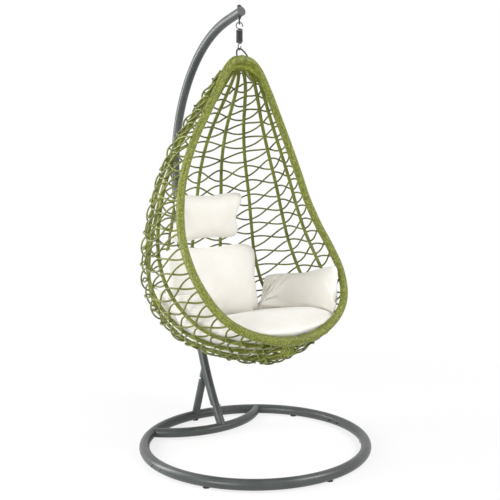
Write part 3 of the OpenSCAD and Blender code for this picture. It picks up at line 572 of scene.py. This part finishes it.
# %% Tree for a wound tube
STEPS_PER_TURN = 4.0
wound = geometry_tree("wound_tube", {"Radius": 0.0074, "Turn": 0.0055, "Relief": 0.0009, "Sides": 14})
steps = stepped(wound, given_path(wound), wound.math("DIVIDE", wound.given["Turn"], STEPS_PER_TURN))
tube = swept(wound, steps, section(wound))
turns = wound.math("DIVIDE", stored(wound, "along"), wound.given["Turn"])
crown = wound.math("POWER", hump(wound, wound.math("ADD", turns, stored(wound, "around"))), 0.6)
# The height is kept for the finish too, which paints shade into the grooves with it.
finish_tree(wound, raised(wound, store(wound, tube, "height", crown), crown))

# %% Wound ribs
RIB_ROW = 0.018
PAD_ROW = 0.965
OUTER_RIB_ROW = 0.068
OVERRUN = 0.004
for i, angle in enumerate(RIB_ANGLES, 1):
    top = OUTER_RIB_ROW if i in (1, 9) else RIB_ROW
    t = np.linspace(top - OVERRUN, PAD_ROW + OVERRUN, 160)
    base = lines_mesh(f"rib_{i}_line", [hang(shell(t, np.full_like(t, angle)))])
    piece = run_tree(f"rib_{i}_wound", base, wound, {"Material": wound_green})
    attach(piece, "basket")
    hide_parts(f"rib_{i}")

# %% [markdown]
# ## Plaited edge
# The edge of the mouth is a steel tube covered with a round plait: two sets of flat strips run
# round it in opposite helices, each over one and under one. The same kind of tree makes it, with
# another rule for the height. Counting strips gives two numbers at each point; whether their sum
# is odd or even says which strip is on top there. The finish uses the same rule, pixel by pixel,
# so that each strip has its own tone; the gaps between strips get painted shade and the crowns a
# little painted light.


# %% The rule of the plait
STRIPS = 14
WANTED_PITCH = 0.098
PLAIT_TURNS = round(2 * ROW / WANTED_PITCH)
PLAIT_PITCH = 2 * ROW / PLAIT_TURNS


def plait_rule(graph, around, along):
    """Height from 0 to 1 at a point of the plait, with the counts of strips in the two directions."""
    ring = graph.math("MULTIPLY", around, float(STRIPS))
    turns = graph.math("MULTIPLY", along, STRIPS / PLAIT_PITCH)
    places = [graph.math("ADD", ring, turns), graph.math("SUBTRACT", ring, turns)]
    humps = [hump(graph, place) for place in places]
    counts = [graph.math("FLOOR", place) for place in places]
    cell = graph.math("FLOORED_MODULO", graph.math("ADD", *counts), 2.0)
    other = graph.math("SUBTRACT", 1.0, cell)
    width = graph.mixture(humps[0], other, humps[1], cell)
    length = graph.mixture(humps[1], other, humps[0], cell)
    height = graph.math("MULTIPLY", graph.math("POWER", width, 0.4), graph.plus(0.3, length, 0.7))
    return height, counts


def plaited_wicker(name, dark, mid, light, rough):
    """Resin wicker where each strip has its own tone, with painted shade in the gaps between strips."""
    graph = shader(name)
    along = attribute(graph, "along")
    sides = graph.add("ShaderNodeSeparateXYZ", {"Vector": attribute(graph, "lane", "Vector")}).outputs
    around = graph.math("DIVIDE", graph.math("ARCTAN2", sides["Y"], sides["X"]), 2 * math.pi)
    height, counts = plait_rule(graph, around, along)
    strip = graph.add("ShaderNodeCombineXYZ", {
        "X": graph.math("SUBTRACT", *counts),
        "Y": graph.math("FLOORED_MODULO", graph.math("ADD", *counts), 2.0 * STRIPS)})
    own = graph.add("ShaderNodeTexWhiteNoise", {"Vector": strip}, noise_dimensions="2D").outputs["Value"]
    flow = graph.add("ShaderNodeCombineXYZ", {
        "X": sides["X"], "Y": sides["Y"], "Z": graph.math("MULTIPLY", along, 12.0)})
    streaks = noise(graph, 5.0, place=flow)
    colour = ramp(graph, graph.mixture(streaks, 0.8, own, 0.2), [(0.3, dark), (0.5, mid), (0.7, light)])
    # Painted shade and light: the colour is darkened in the gaps between strips and lightened on their crowns.
    dress(graph, {"Base Color": graph.scaled(colour, graph.plus(0.5, height, 0.65)), "Roughness": rough,
                  "Specular IOR Level": 0.45})
    bump(graph, graph.plus(height, streaks, 0.3), 0.0012, 0.7)
    return graph.material


edge_green = plaited_wicker("edge_green", (0.07, 0.09, 0.004), (0.17, 0.195, 0.013), (0.36, 0.39, 0.07),
                            rough=0.42)
print("turns of the plait", PLAIT_TURNS, "pitch", round(PLAIT_PITCH, 4))

# %% Tree for a plaited tube
plait = geometry_tree("plaited_tube", {"Radius": 0.0168, "Relief": 0.0013, "Step": 0.0021, "Sides": 56})
upright = plait.add("GeometryNodeSetCurveNormal", {"Curve": given_path(plait)}, mode="MINIMUM_TWIST")
thick = stored(plait, "thickness")
sized = plait.add("GeometryNodeSetCurveRadius", {"Curve": upright, "Radius": thick})
steps = stepped(plait, sized, plait.given["Step"])
lane = plait.add("ShaderNodeCombineXYZ", wheel(plait, spline(plait, "Factor")))
tube = swept(plait, steps, store(plait, section(plait), "lane", lane, "FLOAT_VECTOR"))
if "Scale" in tube.inputs:
    plait.feed(tube.inputs["Scale"], thick)
height = plait_rule(plait, stored(plait, "around"), stored(plait, "along"))[0]
finish_tree(plait, raised(plait, tube, height))

# %% Plaited edge
SHOULDER_H = 0.008
SHOULDER_AT = 0.045
SHOULDER_W = 0.028
SLACK = 0.009
EDGE_STEPS = 1780


def shoulders(x):
    """How far the edge stands up on both sides of the peak."""
    return SHOULDER_H * np.exp(-((np.abs(x) - SHOULDER_AT) / SHOULDER_W) ** 2)


share = np.linspace(0, 1, 260)
half = at_share(rim_curve, share)
loop = np.vstack([half, half[-2:0:-1] * [-1, 1, 1]])
loop_share = np.r_[share, share[-2:0:-1]]
slack = SLACK * np.exp(-((loop[:, 0] - 0.05) / 0.22) ** 2)
loop[:, 2] += np.where(loop_share < 0.5, shoulders(loop[:, 0]), -slack)
# The winding is a little thicker along the bottom and at the very peak.
fuller = 1 + 0.14 * np.clip((loop_share - 0.78) / 0.14, 0, 1) + 0.12 * np.exp(-(loop_share / 0.03) ** 2)
edge_mesh = lines_mesh("edge_line", [hang(loop)], closed=True, radius=fuller)
edge = run_tree("plaited_edge", edge_mesh, plait, {"Step": 2 * ROW / EDGE_STEPS, "Material": edge_green})
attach(edge, "basket")
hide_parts("rim_wrap_left", "rim_wrap_right")

# %% [markdown]
# ## Strands
# Each row has two strands that wave against each other. At a rib one is above and one below; in
# the middle of a gap they cross. Near the peak the gaps are narrow, so there the wave is twice as
# long and the crossings fall on every second rib. A strand stands off the ribs, and the one on
# top of a crossing lifts over the other.

# %% Tree for strands
STRAND_R = 0.0040
strands = geometry_tree("strand_tubes", {"Radius": STRAND_R, "Step": 0.006, "Sides": 8})
steps = stepped(strands, given_path(strands), strands.given["Step"])
finish_tree(strands, swept(strands, steps, section(strands)))

# %% Weave
RIB_FACE = 0.0082
CROSS_LIFT = 0.0082
TUCK = 0.006
WIDE_ROWS = 7
WAVE_SHARE = 0.36
BAYS = ["weave_left_front", "weave_left_back", "weave_back", "weave_right_back", "weave_right_front"]


def wave_height(row):
    return WAVE_SHARE / WEAVE_ROWS * min(1, 0.6 + 0.12 * row, 0.55 + 0.1 * (WEAVE_ROWS - row))


def bell(x, middle, width):
    return np.clip(1 - ((x - middle) / width) ** 2, 0, 1) ** 1.5


def strand_line(row, bay, side):
    """Two gaps of one strand: k runs from 0 to 6, with ribs at 0, 3 and 6."""
    k = np.linspace(0, 6, 49)
    wide = row <= WIDE_ROWS
    wave = np.sin(np.radians(30 * k + 180 * bay)) if wide else np.cos(np.radians(60 * k))
    t = row / WEAVE_ROWS + side * wave_height(row) * wave
    low = -reach(t[0], RIB_FACE, -TUCK)[0] if bay == 0 else RIB_ANGLES[2 * bay - 1]
    high = reach(t[-1], RIB_FACE, -TUCK)[0] if bay == 4 else RIB_ANGLES[2 * bay + 1]
    angle = np.interp(k, [0, 3, 6], [low, RIB_ANGLES[2 * bay], high])
    lift = np.zeros_like(k)
    for gap, middle in enumerate([0.0, 6.0] if wide else [1.5, 4.5]):
        on_top = (row + bay + (side > 0) + gap) % 2 == 0
        lift += CROSS_LIFT * bell(k, middle, 1.5) * (1 if on_top else 0.1)
    off = RIB_FACE + STRAND_R + lift
    return hang(shell(t, angle) + outward(t, angle) * off[:, None])


for bay, node in enumerate(BAYS):
    lines = [strand_line(row, bay, side) for row in range(2, WEAVE_ROWS - 1) for side in (-1, 1)]
    base = lines_mesh(node + "_lines", lines)
    piece = run_tree(node + "_strands", base, strands, {"Material": strand_green})
    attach(piece, "basket")
    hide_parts(node)

# %% [markdown]
# ## Hood and bottom pad
# At the peak and under the front the strands are packed side by side. Each row passes in front of
# one stake and behind the next, and the next row does the opposite. Under the peak the rows go on
# below the edge to the tops of the ribs, so from the front the peak is a solid cap of arcs, and
# beside the ribs they run further down along the edge.


# %% Hood and bottom pad
PACKED = 0.0046
PACKED_TUCK = 0.004
RIPPLE_STEP = 0.004
RIPPLE_H = 0.0024
CHEEK_END = 0.074
PEAK_SHARE = 0.085
PEAK_DEG = 98
PEAK_SHIFT = (-0.004, -0.001)
FACE_START = 0.0130
FACE_STEP = 0.0044
HOOD_STRAND_R = 0.0032
PAD_STRAND_R = 0.0029
FACING = (0.0, -0.96, -0.28)
UNDER_FACING = (0.0, -0.5, -0.87)


def rippled(points, normals, n):
    """Resamples a row evenly and lets it pass in front of and behind the stakes."""
    run = lengths_of(points)
    at = np.arange(0, run[-1], RIPPLE_STEP)
    even, across = (np.stack([np.interp(at, run, given[:, k]) for k in range(3)], -1)
                    for given in (points, normals))
    ripple = RIPPLE_H * np.sin(np.arange(len(at)) * math.pi / 4 + n * math.pi)
    return even + unit(across) * ripple[:, None]


def packed_rows(first, last, inner_angle=None):
    """Rows side by side from edge to edge, or only from inner_angle out to the edge."""
    lines = []
    count = int((last - first) * ROW / PACKED)
    for n in range(count + 1):
        t = first + (last - first) * n / count
        edge_angle = reach(t, 0, -PACKED_TUCK, 20.0)[0]
        spans = [(-edge_angle, edge_angle)]
        if inner_angle is not None:
            inner = inner_angle(t)
            spans = [(-edge_angle, -inner), (inner, edge_angle)] if edge_angle > inner + 1 else []
        for low, high in spans:
            angle = np.linspace(low, high, 60)
            base = np.full_like(angle, t)
            lines.append(hang(rippled(shell(base, angle), outward(base, angle), n)))
    return lines


def under_peak(face_rows=5, rows=6, count=80):
    """Arcs side by side: a few inside the edge at the peak, the rest back to the tops of the ribs."""
    u = np.linspace(-1, 1, count)
    one = np.ones(count)
    rim = at_share(rim_curve, np.abs(u) * PEAK_SHARE) * np.stack([np.sign(u), one, one], -1)
    rim[:, 2] += shoulders(rim[:, 0])
    rim[:, 1:] += PEAK_SHIFT
    inward = unit(np.cross(np.gradient(rim, axis=0), FACING))
    back = shell((RIB_ROW + OVERRUN) * one, u * PEAK_DEG)
    fade = 1 - np.abs(u) ** 4
    lines = []
    for n in range(face_rows):
        points = rim + inward * (fade * (FACE_START + n * FACE_STEP))[:, None]
        lines.append(hang(rippled(points, np.tile(FACING, (count, 1)), n)))
    for n in range(1, rows + 1):
        between = points * (1 - n / rows) + back * (n / rows)
        lines.append(hang(rippled(between, np.tile(UNDER_FACING, (count, 1)), n)))
    return lines


def cheek_inner(t):
    """The inner end of a row beside the ribs: it draws back to the edge further down."""
    return float(np.interp(t, [RIB_ROW, 0.045, 0.062, CHEEK_END], [52.0, 55.0, 64.0, 80.0]))


packed_look = {"Step": 0.004, "Sides": 7, "Material": plait_green}
hood_lines = packed_rows(0.004, RIB_ROW + 0.006) + packed_rows(RIB_ROW + 0.008, CHEEK_END, cheek_inner)
hood_lines += under_peak()
hood = run_tree("woven_hood", lines_mesh("hood_lines", hood_lines), strands,
                {**packed_look, "Radius": HOOD_STRAND_R})
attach(hood, "basket")
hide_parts("top_cap")
pad_lines = packed_rows(PAD_ROW + 0.001, 0.994)
pad = run_tree("woven_pad", lines_mesh("pad_lines", pad_lines), strands,
               {**packed_look, "Radius": PAD_STRAND_R})
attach(pad, "basket")
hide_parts("bottom_pad")

# %% [markdown]
# ## Bent wire
# The eye, the spring's top hook, the bail on the peak and the hoop on the outer side of the ribs
# are wire or rod bent along one line each. A curve with a round bevel would do, but the tree for
# strands already turns a line into round wire, so it is used again.

# %% Bent wire
ARM_OVER = 1.97422
EYE_Z = 1.9126
EYE_R = 0.009
EYE_WIRE_R = 0.0037
HOOK_Z = 1.896161
HOOK_R = 0.014
WIRE_R = 0.00225
COIL_R = 0.01275
BAIL_R = 0.0036
BAIL_LEAN = 0.0186
HOOP_ROW = 0.036
HOOP_OFF = 0.0112
HOOP_WIRE_R = 0.0026
# The eye lies in the upright plane through toward, and the hook in the one through aside.
toward = Vector((0.594, 0.797, 0)).normalized()
aside = Vector((0.8, -0.6, 0)).normalized()


def bend(middle, radius, first, last, side, count=60):
    """Points of an arc in the upright plane that holds side; degrees from side towards up."""
    angles = np.radians(np.linspace(first, last, count))
    out = np.outer(np.cos(angles), side) + np.outer(np.sin(angles), (0, 0, 1))
    return np.array(middle) + radius * out


def bent_wire(name, node, body, points, radius, slot, sides=14, step=0.0012):
    piece = run_tree(name, lines_mesh(name + "_line", [points]), strands,
                     {"Radius": radius, "Step": step, "Sides": sides, "Material": coat_of[slot]})
    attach(piece, body)
    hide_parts(node)


shank = [(hook.x, hook.y, z) for z in np.linspace(ARM_OVER + 0.004, EYE_Z + 0.012, 30)]
eye = bend((hook.x, hook.y, EYE_Z), EYE_R, 90, 450, toward)
bent_wire("eye_wire", "eye_bolt", "eye", shank + list(eye), EYE_WIRE_R, "black_steel")
turn_down = bend((hook.x, hook.y, HOOK_Z), HOOK_R, 270, -20, aside)
link = [(hook.x + side * aside.x, hook.y + side * aside.y, HOOK_Z - down)
        for side, down in ((COIL_R, 0.0162), (0.006, 0.0152), (0, HOOK_R))]
bent_wire("top_hook_wire", "spring_top_hook", "spring", link + list(turn_down), WIRE_R, "black_steel")

bail_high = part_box("bail")[1]
crown_z = bail_high.z - BAIL_R
foot_z = PEAK_Z + 0.014
bail_side = [(0.031, foot_z - 0.006), (0.0305, foot_z + 0.004), (0.0245, crown_z - 0.0165),
             (0.0160, crown_z - 0.0065), (0.008, crown_z - 0.0008)]
bail_shape = bail_side + [(0, crown_z)] + [(-x, z) for x, z in bail_side[::-1]]
bail_line = smooth([(x, -BAIL_LEAN * (crown_z - z) / (crown_z - foot_z), z) for x, z in bail_shape], 8)
bent_wire("bail_rod", "bail", "basket", hang(bail_line), BAIL_R, "black_steel")

hoop_angles = np.linspace(-88, 88, 120)
hoop_rows = np.full_like(hoop_angles, HOOP_ROW)
hoop = hang(shell(hoop_rows, hoop_angles) + outward(hoop_rows, hoop_angles) * HOOP_OFF)
bent_wire("tie_cord", "tie_hoop", "basket", hoop, HOOP_WIRE_R, "black_steel", 10, 0.003)
print("bail top", round(bail_high.z, 4))

# %% [markdown]
# ## Domed nut
# A domed nut with a round flange holds the eye bolt over the arm. It is a turned shape. A Screw
# modifier could turn its profile, but bmesh does the same in one call and leaves a plain mesh.

# %% Domed nut
nut_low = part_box("eye_nut")[0]
NUT_PROFILE = [(0.0, 0.0), (0.0098, 0.0), (0.0104, 0.0006), (0.0104, 0.0018), (0.0098, 0.0024),
               (0.0084, 0.0025), (0.0084, 0.0036), (0.0076, 0.0052), (0.0057, 0.0065), (0.0030, 0.0072),
               (0.0, 0.0074)]
nut_mesh = bpy.data.meshes.new("domed_nut")
nut_build = bmesh.new()
profile = [nut_build.verts.new((hook.x + r, hook.y, nut_low.z + z)) for r, z in NUT_PROFILE]
edges = [nut_build.edges.new(pair) for pair in zip(profile, profile[1:])]
bmesh.ops.spin(nut_build, geom=profile + edges, cent=(hook.x, hook.y, 0), axis=(0, 0, 1),
               angle=2 * math.pi, steps=36, use_duplicate=False)
bmesh.ops.remove_doubles(nut_build, verts=nut_build.verts, dist=0.00002)
bmesh.ops.recalc_face_normals(nut_build, faces=nut_build.faces)
nut_build.to_mesh(nut_mesh)
nut_build.free()
for face in nut_mesh.polygons:
    face.use_smooth = True
nut_mesh.materials.append(black_coat)
nut = new_object("domed_nut", nut_mesh)
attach(nut, *body_of(nodes["eye_nut"]))
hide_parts("eye_nut")
print("nut faces", len(nut_mesh.polygons))

# %% [markdown]
# ## Spring coil
# The coil is wire wound on a cylinder. It could be a list of points on a helix, but the spiral
# node with no change of radius is that path, with its turns and height as inputs. The coil blends
# between the spring's hook and the basket, so it stretches when the basket goes down.

# %% Spring coil
coil_low, coil_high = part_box("spring_coil")
coil_tree = geometry_tree("coil", {"Wire": WIRE_R, "Radius": COIL_R, "Height": 0.05, "Turns": 11.0})
spiral = coil_tree.add("GeometryNodeCurveSpiral", {
    "Resolution": 28, "Rotations": coil_tree.given["Turns"], "Start Radius": coil_tree.given["Radius"],
    "End Radius": coil_tree.given["Radius"], "Height": coil_tree.given["Height"], "Reverse": True})
wire = coil_tree.add("GeometryNodeCurvePrimitiveCircle", {
    "Resolution": 14, "Radius": coil_tree.given["Wire"]})
placed = coil_tree.add("GeometryNodeTransform", {
    "Geometry": swept(coil_tree, spiral, wire), "Translation": (hook.x, hook.y, coil_low.z + WIRE_R)})
finish_tree(coil_tree, placed)
coil = run_tree("coil_wire", bpy.data.meshes.new("coil_start"), coil_tree,
                {"Height": coil_high.z - coil_low.z - 2 * WIRE_R, "Material": black_coat})
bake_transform(coil, "spring", "basket", start=(hook.x, hook.y, coil_high.z), end=(hook.x, hook.y, coil_low.z))
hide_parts("spring_coil")

# %% [markdown]
# ## Cushions
# A cushion is two panels of canvas sewn edge to edge and stuffed. The panels start nearly full,
# and the Cloth modifier blows them up with a little pressure. A third of that movement is kept:
# the seam still pulls in between the corners, the cloth wrinkles there, and the shape stays even.
# The result is sheared and bent to the curve of the basket and laid where its solid is. It is
# soft, so where it would pass the ribs, the edge or a cushion laid before it, its points are
# pushed back, and that gives the flattened sides where it rests.

# %% The panels of a cushion
CELL = 0.011


def turned(angles):
    """Spins a flat cushion first, and then turns it about x, y and z."""
    spin, x, y, z = (math.radians(a) for a in angles)
    return (Matrix.Rotation(z, 3, "Z") @ Matrix.Rotation(y, 3, "Y") @ Matrix.Rotation(x, 3, "X")
            @ Matrix.Rotation(spin, 3, "Z"))


def outline(square, draw, u, v):
    """Moves a point of the square from -1 to 1 onto the cushion's rounded outline."""
    angle = np.arctan2(v, u)
    box = np.maximum(np.abs(u), np.abs(v))
    c, s = np.abs(np.cos(angle)), np.abs(np.sin(angle))
    radius = (c ** square + s ** square) ** (-1 / square) * (1 - draw * np.cos(2 * angle) ** 2)
    return box * radius * np.cos(angle), box * radius * np.sin(angle)


def points_of(mesh):
    return np.array([v.co for v in mesh.vertices])


def set_points(mesh, points):
    mesh.vertices.foreach_set("co", points.astype(np.float32).ravel())
    mesh.update()


def pillow_mesh(name, size, shape, start):
    """Two panels with one row of points in common, start of their final thickness."""
    w, h, t = size
    square, draw, crown_power, crown_root = shape
    nu = max(8, round(w / CELL))
    nv = max(8, round(h / CELL))
    u, v = np.meshgrid(np.linspace(-1, 1, nu + 1), np.linspace(-1, 1, nv + 1), indexing="ij")
    x, y = outline(square, draw, u, v)
    box = np.maximum(np.abs(u), np.abs(v))
    crown = t / 2 * start * np.clip(1 - box ** crown_power, 0, 1) ** crown_root
    mesh = bpy.data.meshes.new(name)
    build = bmesh.new()
    uv = build.loops.layers.uv.new("cloth")
    flat = {}
    sheets = []
    for side in (1, -1):
        grid = []
        for i in range(nu + 1):
            column = []
            for j in range(nv + 1):
                on_seam = box[i, j] > 0.999
                if side < 0 and on_seam:
                    column.append(sheets[0][i][j])
                    continue
                flat_point = (x[i, j] * w / 2, y[i, j] * h / 2)
                point = build.verts.new((*flat_point, side * crown[i, j]))
                flat[point] = flat_point
                column.append(point)
            grid.append(column)
        sheets.append(grid)
        for i in range(nu):
            for j in range(nv):
                corners = [grid[i][j], grid[i + 1][j], grid[i + 1][j + 1], grid[i][j + 1]]
                face = build.faces.new(corners if side > 0 else corners[::-1])
                face.smooth = True
                for loop in face.loops:
                    loop[uv].uv = flat[loop.vert]
    build.to_mesh(mesh)
    build.free()
    return mesh


print("cells of a panel", CELL)

# %% Stuffing
PRESSURE = 4.0
FRAMES = 20
SHRINK = 0.02
KEPT = 0.35
FARTHEST = 0.02
SEAM_TAKE = 0.995


def inflate(piece):
    """Blows the panels up and keeps a share of each point's movement, at most FARTHEST."""
    before = points_of(piece.data)
    cloth = piece.modifiers.new("stuffing", "CLOTH")
    settings = cloth.settings
    settings.quality = 6
    settings.mass = 0.3
    settings.tension_stiffness = 15
    settings.compression_stiffness = 15
    settings.shear_stiffness = 5
    settings.bending_stiffness = 0.4
    settings.use_pressure = True
    settings.uniform_pressure_force = PRESSURE
    settings.shrink_min = SHRINK
    settings.effector_weights.gravity = 0
    cloth.collision_settings.use_collision = False
    cloth.point_cache.frame_start = 1
    cloth.point_cache.frame_end = FRAMES
    for number in range(1, FRAMES + 1):
        bpy.context.scene.frame_set(number)
    depsgraph = bpy.context.evaluated_depsgraph_get()
    blown = points_of(piece.evaluated_get(depsgraph).data)
    piece.modifiers.remove(cloth)
    bpy.context.scene.frame_set(1)
    moved = (blown - before) * KEPT
    far = np.linalg.norm(moved, axis=1, keepdims=True)
    moved *= np.minimum(1, FARTHEST / np.maximum(far, 1e-9))
    set_points(piece.data, before + moved)


def fit_box(piece, size):
    """Scales the blown cushion to its cut size, less the little that the seam takes."""
    points = points_of(piece.data)
    low, high = points.min(0), points.max(0)
    scale = np.array(size) * (SEAM_TAKE, SEAM_TAKE, 1) / (high - low)
    set_points(piece.data, (points - (low + high) / 2) * scale)


print("pressure", PRESSURE, "over", FRAMES, "frames")

# %% [markdown]
# ## The bed of the cushions
# The inside of the basket is the bed that they lie in. A Shrinkwrap modifier could push them off
# one surface, but here there are three: the ribs, the wound edge and the cushions laid before. So
# the push is worked out point by point, from a grid of points on the shell.

# %% The bed of the cushions
RIB_INSIDE = 0.0105
CLOTH_GAP = 0.002
EDGE_GAP = 0.003
NEAR_CUSHION = 0.16
bed_rows, bed_angles = np.meshgrid(np.linspace(0.03, 0.985, 180), np.linspace(-RIM_DEG, RIM_DEG, 161),
                                   indexing="ij")
bed_points = shell(bed_rows, bed_angles).reshape(-1, 3)
bed_out = outward(bed_rows, bed_angles).reshape(-1, 3)
bed = KDTree(len(bed_points))
for number, point in enumerate(bed_points):
    bed.insert(point, number)
bed.balance()
settled = []
print("bed points", len(bed_points))


def press(points, depth):
    """Pushes points inside the ribs by their depth, off the edge and out of the cushions laid before."""
    for _ in range(3):
        for number, point in enumerate(points):
            for tree in settled:
                spot, normal, _, _ = tree.find_nearest(Vector(point))
                inside = CLOTH_GAP - (Vector(point) - spot).dot(normal)
                if inside > 0 and (Vector(point) - spot).length < NEAR_CUSHION:
                    point = np.array(spot + normal * CLOTH_GAP)
            near = bed.find(point)[1]
            over = (point - bed_points[near]) @ bed_out[near] + RIB_INSIDE + depth[number]
            points[number] = point - max(over, 0) * bed_out[near]
        half = np.abs(points * [1, 0, 0]) + points * [0, 1, 1]
        gaps = half[:, None, :] - rim_fine
        far = np.linalg.norm(gaps, axis=-1)
        near = far.argmin(1)
        rows = np.arange(len(points))
        away = gaps[rows, near] / far[rows, near][:, None]
        away[:, 0] *= np.where(points[:, 0] < 0, -1, 1)
        points += away * np.clip(WRAP_R + EDGE_GAP - far[rows, near], 0, None)[:, None]
    return points


# %% Cushions
def lay(piece, size, lift, place, turn_by, lean, firm, mirror):
    """Shears and bends the cushion, puts it in the basket and presses it into its place."""
    points = points_of(piece.data)
    x, y = points[:, 0] / (size[0] / 2), points[:, 1] / (size[1] / 2)
    depth = firm * np.clip(points[:, 2], 0, None)
    points = points @ np.array([(1, lean[0], 0), (lean[1], 1, 0), (0, 0, 1)])
    points[:, 2] += lift[0] * x ** 2 + lift[1] * y ** 2
    points = points @ np.array(turned(turn_by)).T + (np.array(place) + (0, 0, UNDER_Z))
    if mirror:
        points[:, 0] *= -1
        piece.data.flip_normals()
    points = press(points, depth)
    faces = [tuple(face.vertices) for face in piece.data.polygons]
    settled.append(BVHTree.FromPolygons([tuple(point) for point in points], faces))
    set_points(piece.data, hang(points))


def cushion(name, node, size, shape, lift, place, turn_by, start=0.8, lean=(0, 0), firm=0.0,
            mirror=False):
    """Makes one cushion. Its place is in the basket's frame, with heights from the lowest point.

    shape: squareness, drawn sides, and two powers of the crown. lift: how far the ends and the
    sides bend up. lean: shear. firm: how much of its thickness it keeps where the bed pushes it.
    """
    piece = new_object(name, pillow_mesh(name, size, shape, start))
    inflate(piece)
    fit_box(piece, size)
    lay(piece, size, lift, place, turn_by, lean, firm, mirror)
    piece.data.materials.append(cream_canvas)
    finer = piece.modifiers.new("finer", "SUBSURF")
    finer.levels = 1
    finer.render_levels = 1
    mesh = baked(piece)
    piece.modifiers.clear()
    piece.data = mesh
    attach(piece, "basket")
    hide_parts(node)
    print(name, "faces", len(mesh.polygons))


cushion("seat_cushion_soft", "seat_cushion", size=(0.785, 0.620, 0.184), shape=(2.8, 0.0, 2.2, 0.62),
        lift=(0.030, 0.010), place=(0.010, -0.066, 0.09799), turn_by=(0, -9, 0, 0), start=0.9)
cushion("back_cushion_soft", "back_cushion", size=(0.545, 0.370, 0.190), shape=(8, 0.03, 4, 0.5),
        lift=(0.010, 0), place=(0.027, 0.256004, 0.2896635), turn_by=(-1, 84, 0, 0), start=0.9)
cushion("head_pillow_soft", "head_pillow", size=(0.405, 0.228, 0.125), shape=(9, 0.07, 3, 0.6),
        lift=(0.008, 0), place=(0.010, 0.262918, 0.6116045), turn_by=(1, 96, 0, 0), lean=(0, 0.1))
cushion("arm_pillow_right_soft", "arm_pillow_right", size=(0.480, 0.228, 0.100), shape=(9, 0.02, 3, 0.6),
        lift=(0.045, 0), place=(0.369632, -0.046, 0.2346531), turn_by=(0, 77, 0, -90),
        lean=(0.2, -0.22), firm=1.2)
cushion("arm_pillow_left_soft", "arm_pillow_left", size=(0.450, 0.228, 0.100), shape=(9, 0.02, 3, 0.6),
        lift=(0.045, 0), place=(0.369632, -0.015, 0.2096531), turn_by=(0, 77, 0, -90),
        lean=(0.05, -0.1), firm=1.2, mirror=True)

# %% [markdown]
# ## Floor
# The photograph has a white ground with a soft shadow under the stand. A white floor in plain
# light would come out grey, and brighter lamps would bleach the chair. So the floor glows white
# to the camera and to mirrors only. Near the ring it glows less and the real shadow shows.

# %% Floor
SHADOW_HIDDEN = 0.78
FLOOR_HALF = 30


def seen_rays(graph):
    """1 for rays from the camera or off a shiny or clear surface, and 0 for rays of soft light."""
    rays = graph.add("ShaderNodeLightPath").outputs
    direct = graph.math("MAXIMUM", rays["Is Camera Ray"], rays["Is Glossy Ray"])
    return graph.math("MAXIMUM", direct, rays["Is Transmission Ray"])


def white_floor():
    """White where it is seen, with a faint shadow near the ring, and matt for all other light."""
    graph = shader("studio_white")
    dress(graph, {"Base Color": (0.93, 0.93, 0.93, 1), "Roughness": 0.9})
    away = graph.add("ShaderNodeVectorMath", {0: graph.place}, operation="LENGTH").outputs["Value"]
    share = graph.add("ShaderNodeMapRange", {"Value": away, "From Min": 0.9, "From Max": 2.2,
                                             "To Min": SHADOW_HIDDEN, "To Max": 1.0})
    glow = graph.add("ShaderNodeEmission", {"Color": (1, 1, 1, 1), "Strength": 1.0})
    mix = graph.add("ShaderNodeMixShader", {0: graph.math("MULTIPLY", seen_rays(graph), share.outputs[0]),
                                            1: graph.surface, 2: glow})
    output = next(node for node in graph.tree.nodes if node.type == "OUTPUT_MATERIAL")
    graph.feed(output.inputs["Surface"], mix)
    return graph.material


corners = [(x * FLOOR_HALF, y * FLOOR_HALF, 0) for x, y in ((-1, -1), (1, -1), (1, 1), (-1, 1))]
floor_mesh = bpy.data.meshes.new("floor")
floor_mesh.from_pydata(corners, [], [(0, 1, 2, 3)])
floor_mesh.materials.append(white_floor())
floor = new_object("floor", floor_mesh)
print("floor", 2 * FLOOR_HALF, "m wide")

# %% [markdown]
# ## Light
# A studio lights such a chair with large soft boxes. The key is at the front right and high up.
# A tall strip on the left draws the shine along the pole and the edge, and two boxes in front
# lift the shadows. Lamps with no size would be simpler, but their shadows are hard. The world adds
# even light, and where it is seen it is plain white.

# %% Light
SKY_LEVEL = 0.44
world = bpy.data.worlds.new("studio")
bpy.context.scene.world = world
world.use_nodes = True
sky = Graph(world.node_tree)
background = world.node_tree.nodes["Background"]
sky.feed(background.inputs["Strength"], sky.plus(SKY_LEVEL, seen_rays(sky), 1 - SKY_LEVEL))
background.inputs["Color"].default_value = (1, 1, 1, 1)


def soft_box(name, place, aim, size, power):
    light = bpy.data.objects.new(name, bpy.data.lights.new(name, "AREA"))
    light.data.shape = "RECTANGLE"
    light.data.size, light.data.size_y = size
    light.data.energy = power
    light.location = place
    light.rotation_mode = "QUATERNION"
    light.rotation_quaternion = (Vector(aim) - Vector(place)).to_track_quat("-Z", "Y")
    bpy.context.scene.collection.objects.link(light)


soft_box("key", (2.0, -3.7, 4.2), (0, 0, 1.0), (1.6, 2.0), 176)
soft_box("left strip", (-2.6, 2.4, 2.1), (0, 0, 1.6), (0.8, 3.0), 125)
soft_box("left front", (-3.7, -1.5, 1.3), (0.2, 0, 0.75), (1.4, 1.2), 66)
soft_box("front", (-0.9, -4.4, 1.2), (0, 0, 0.9), (2.0, 1.6), 4)
print("lights", len(bpy.data.lights))
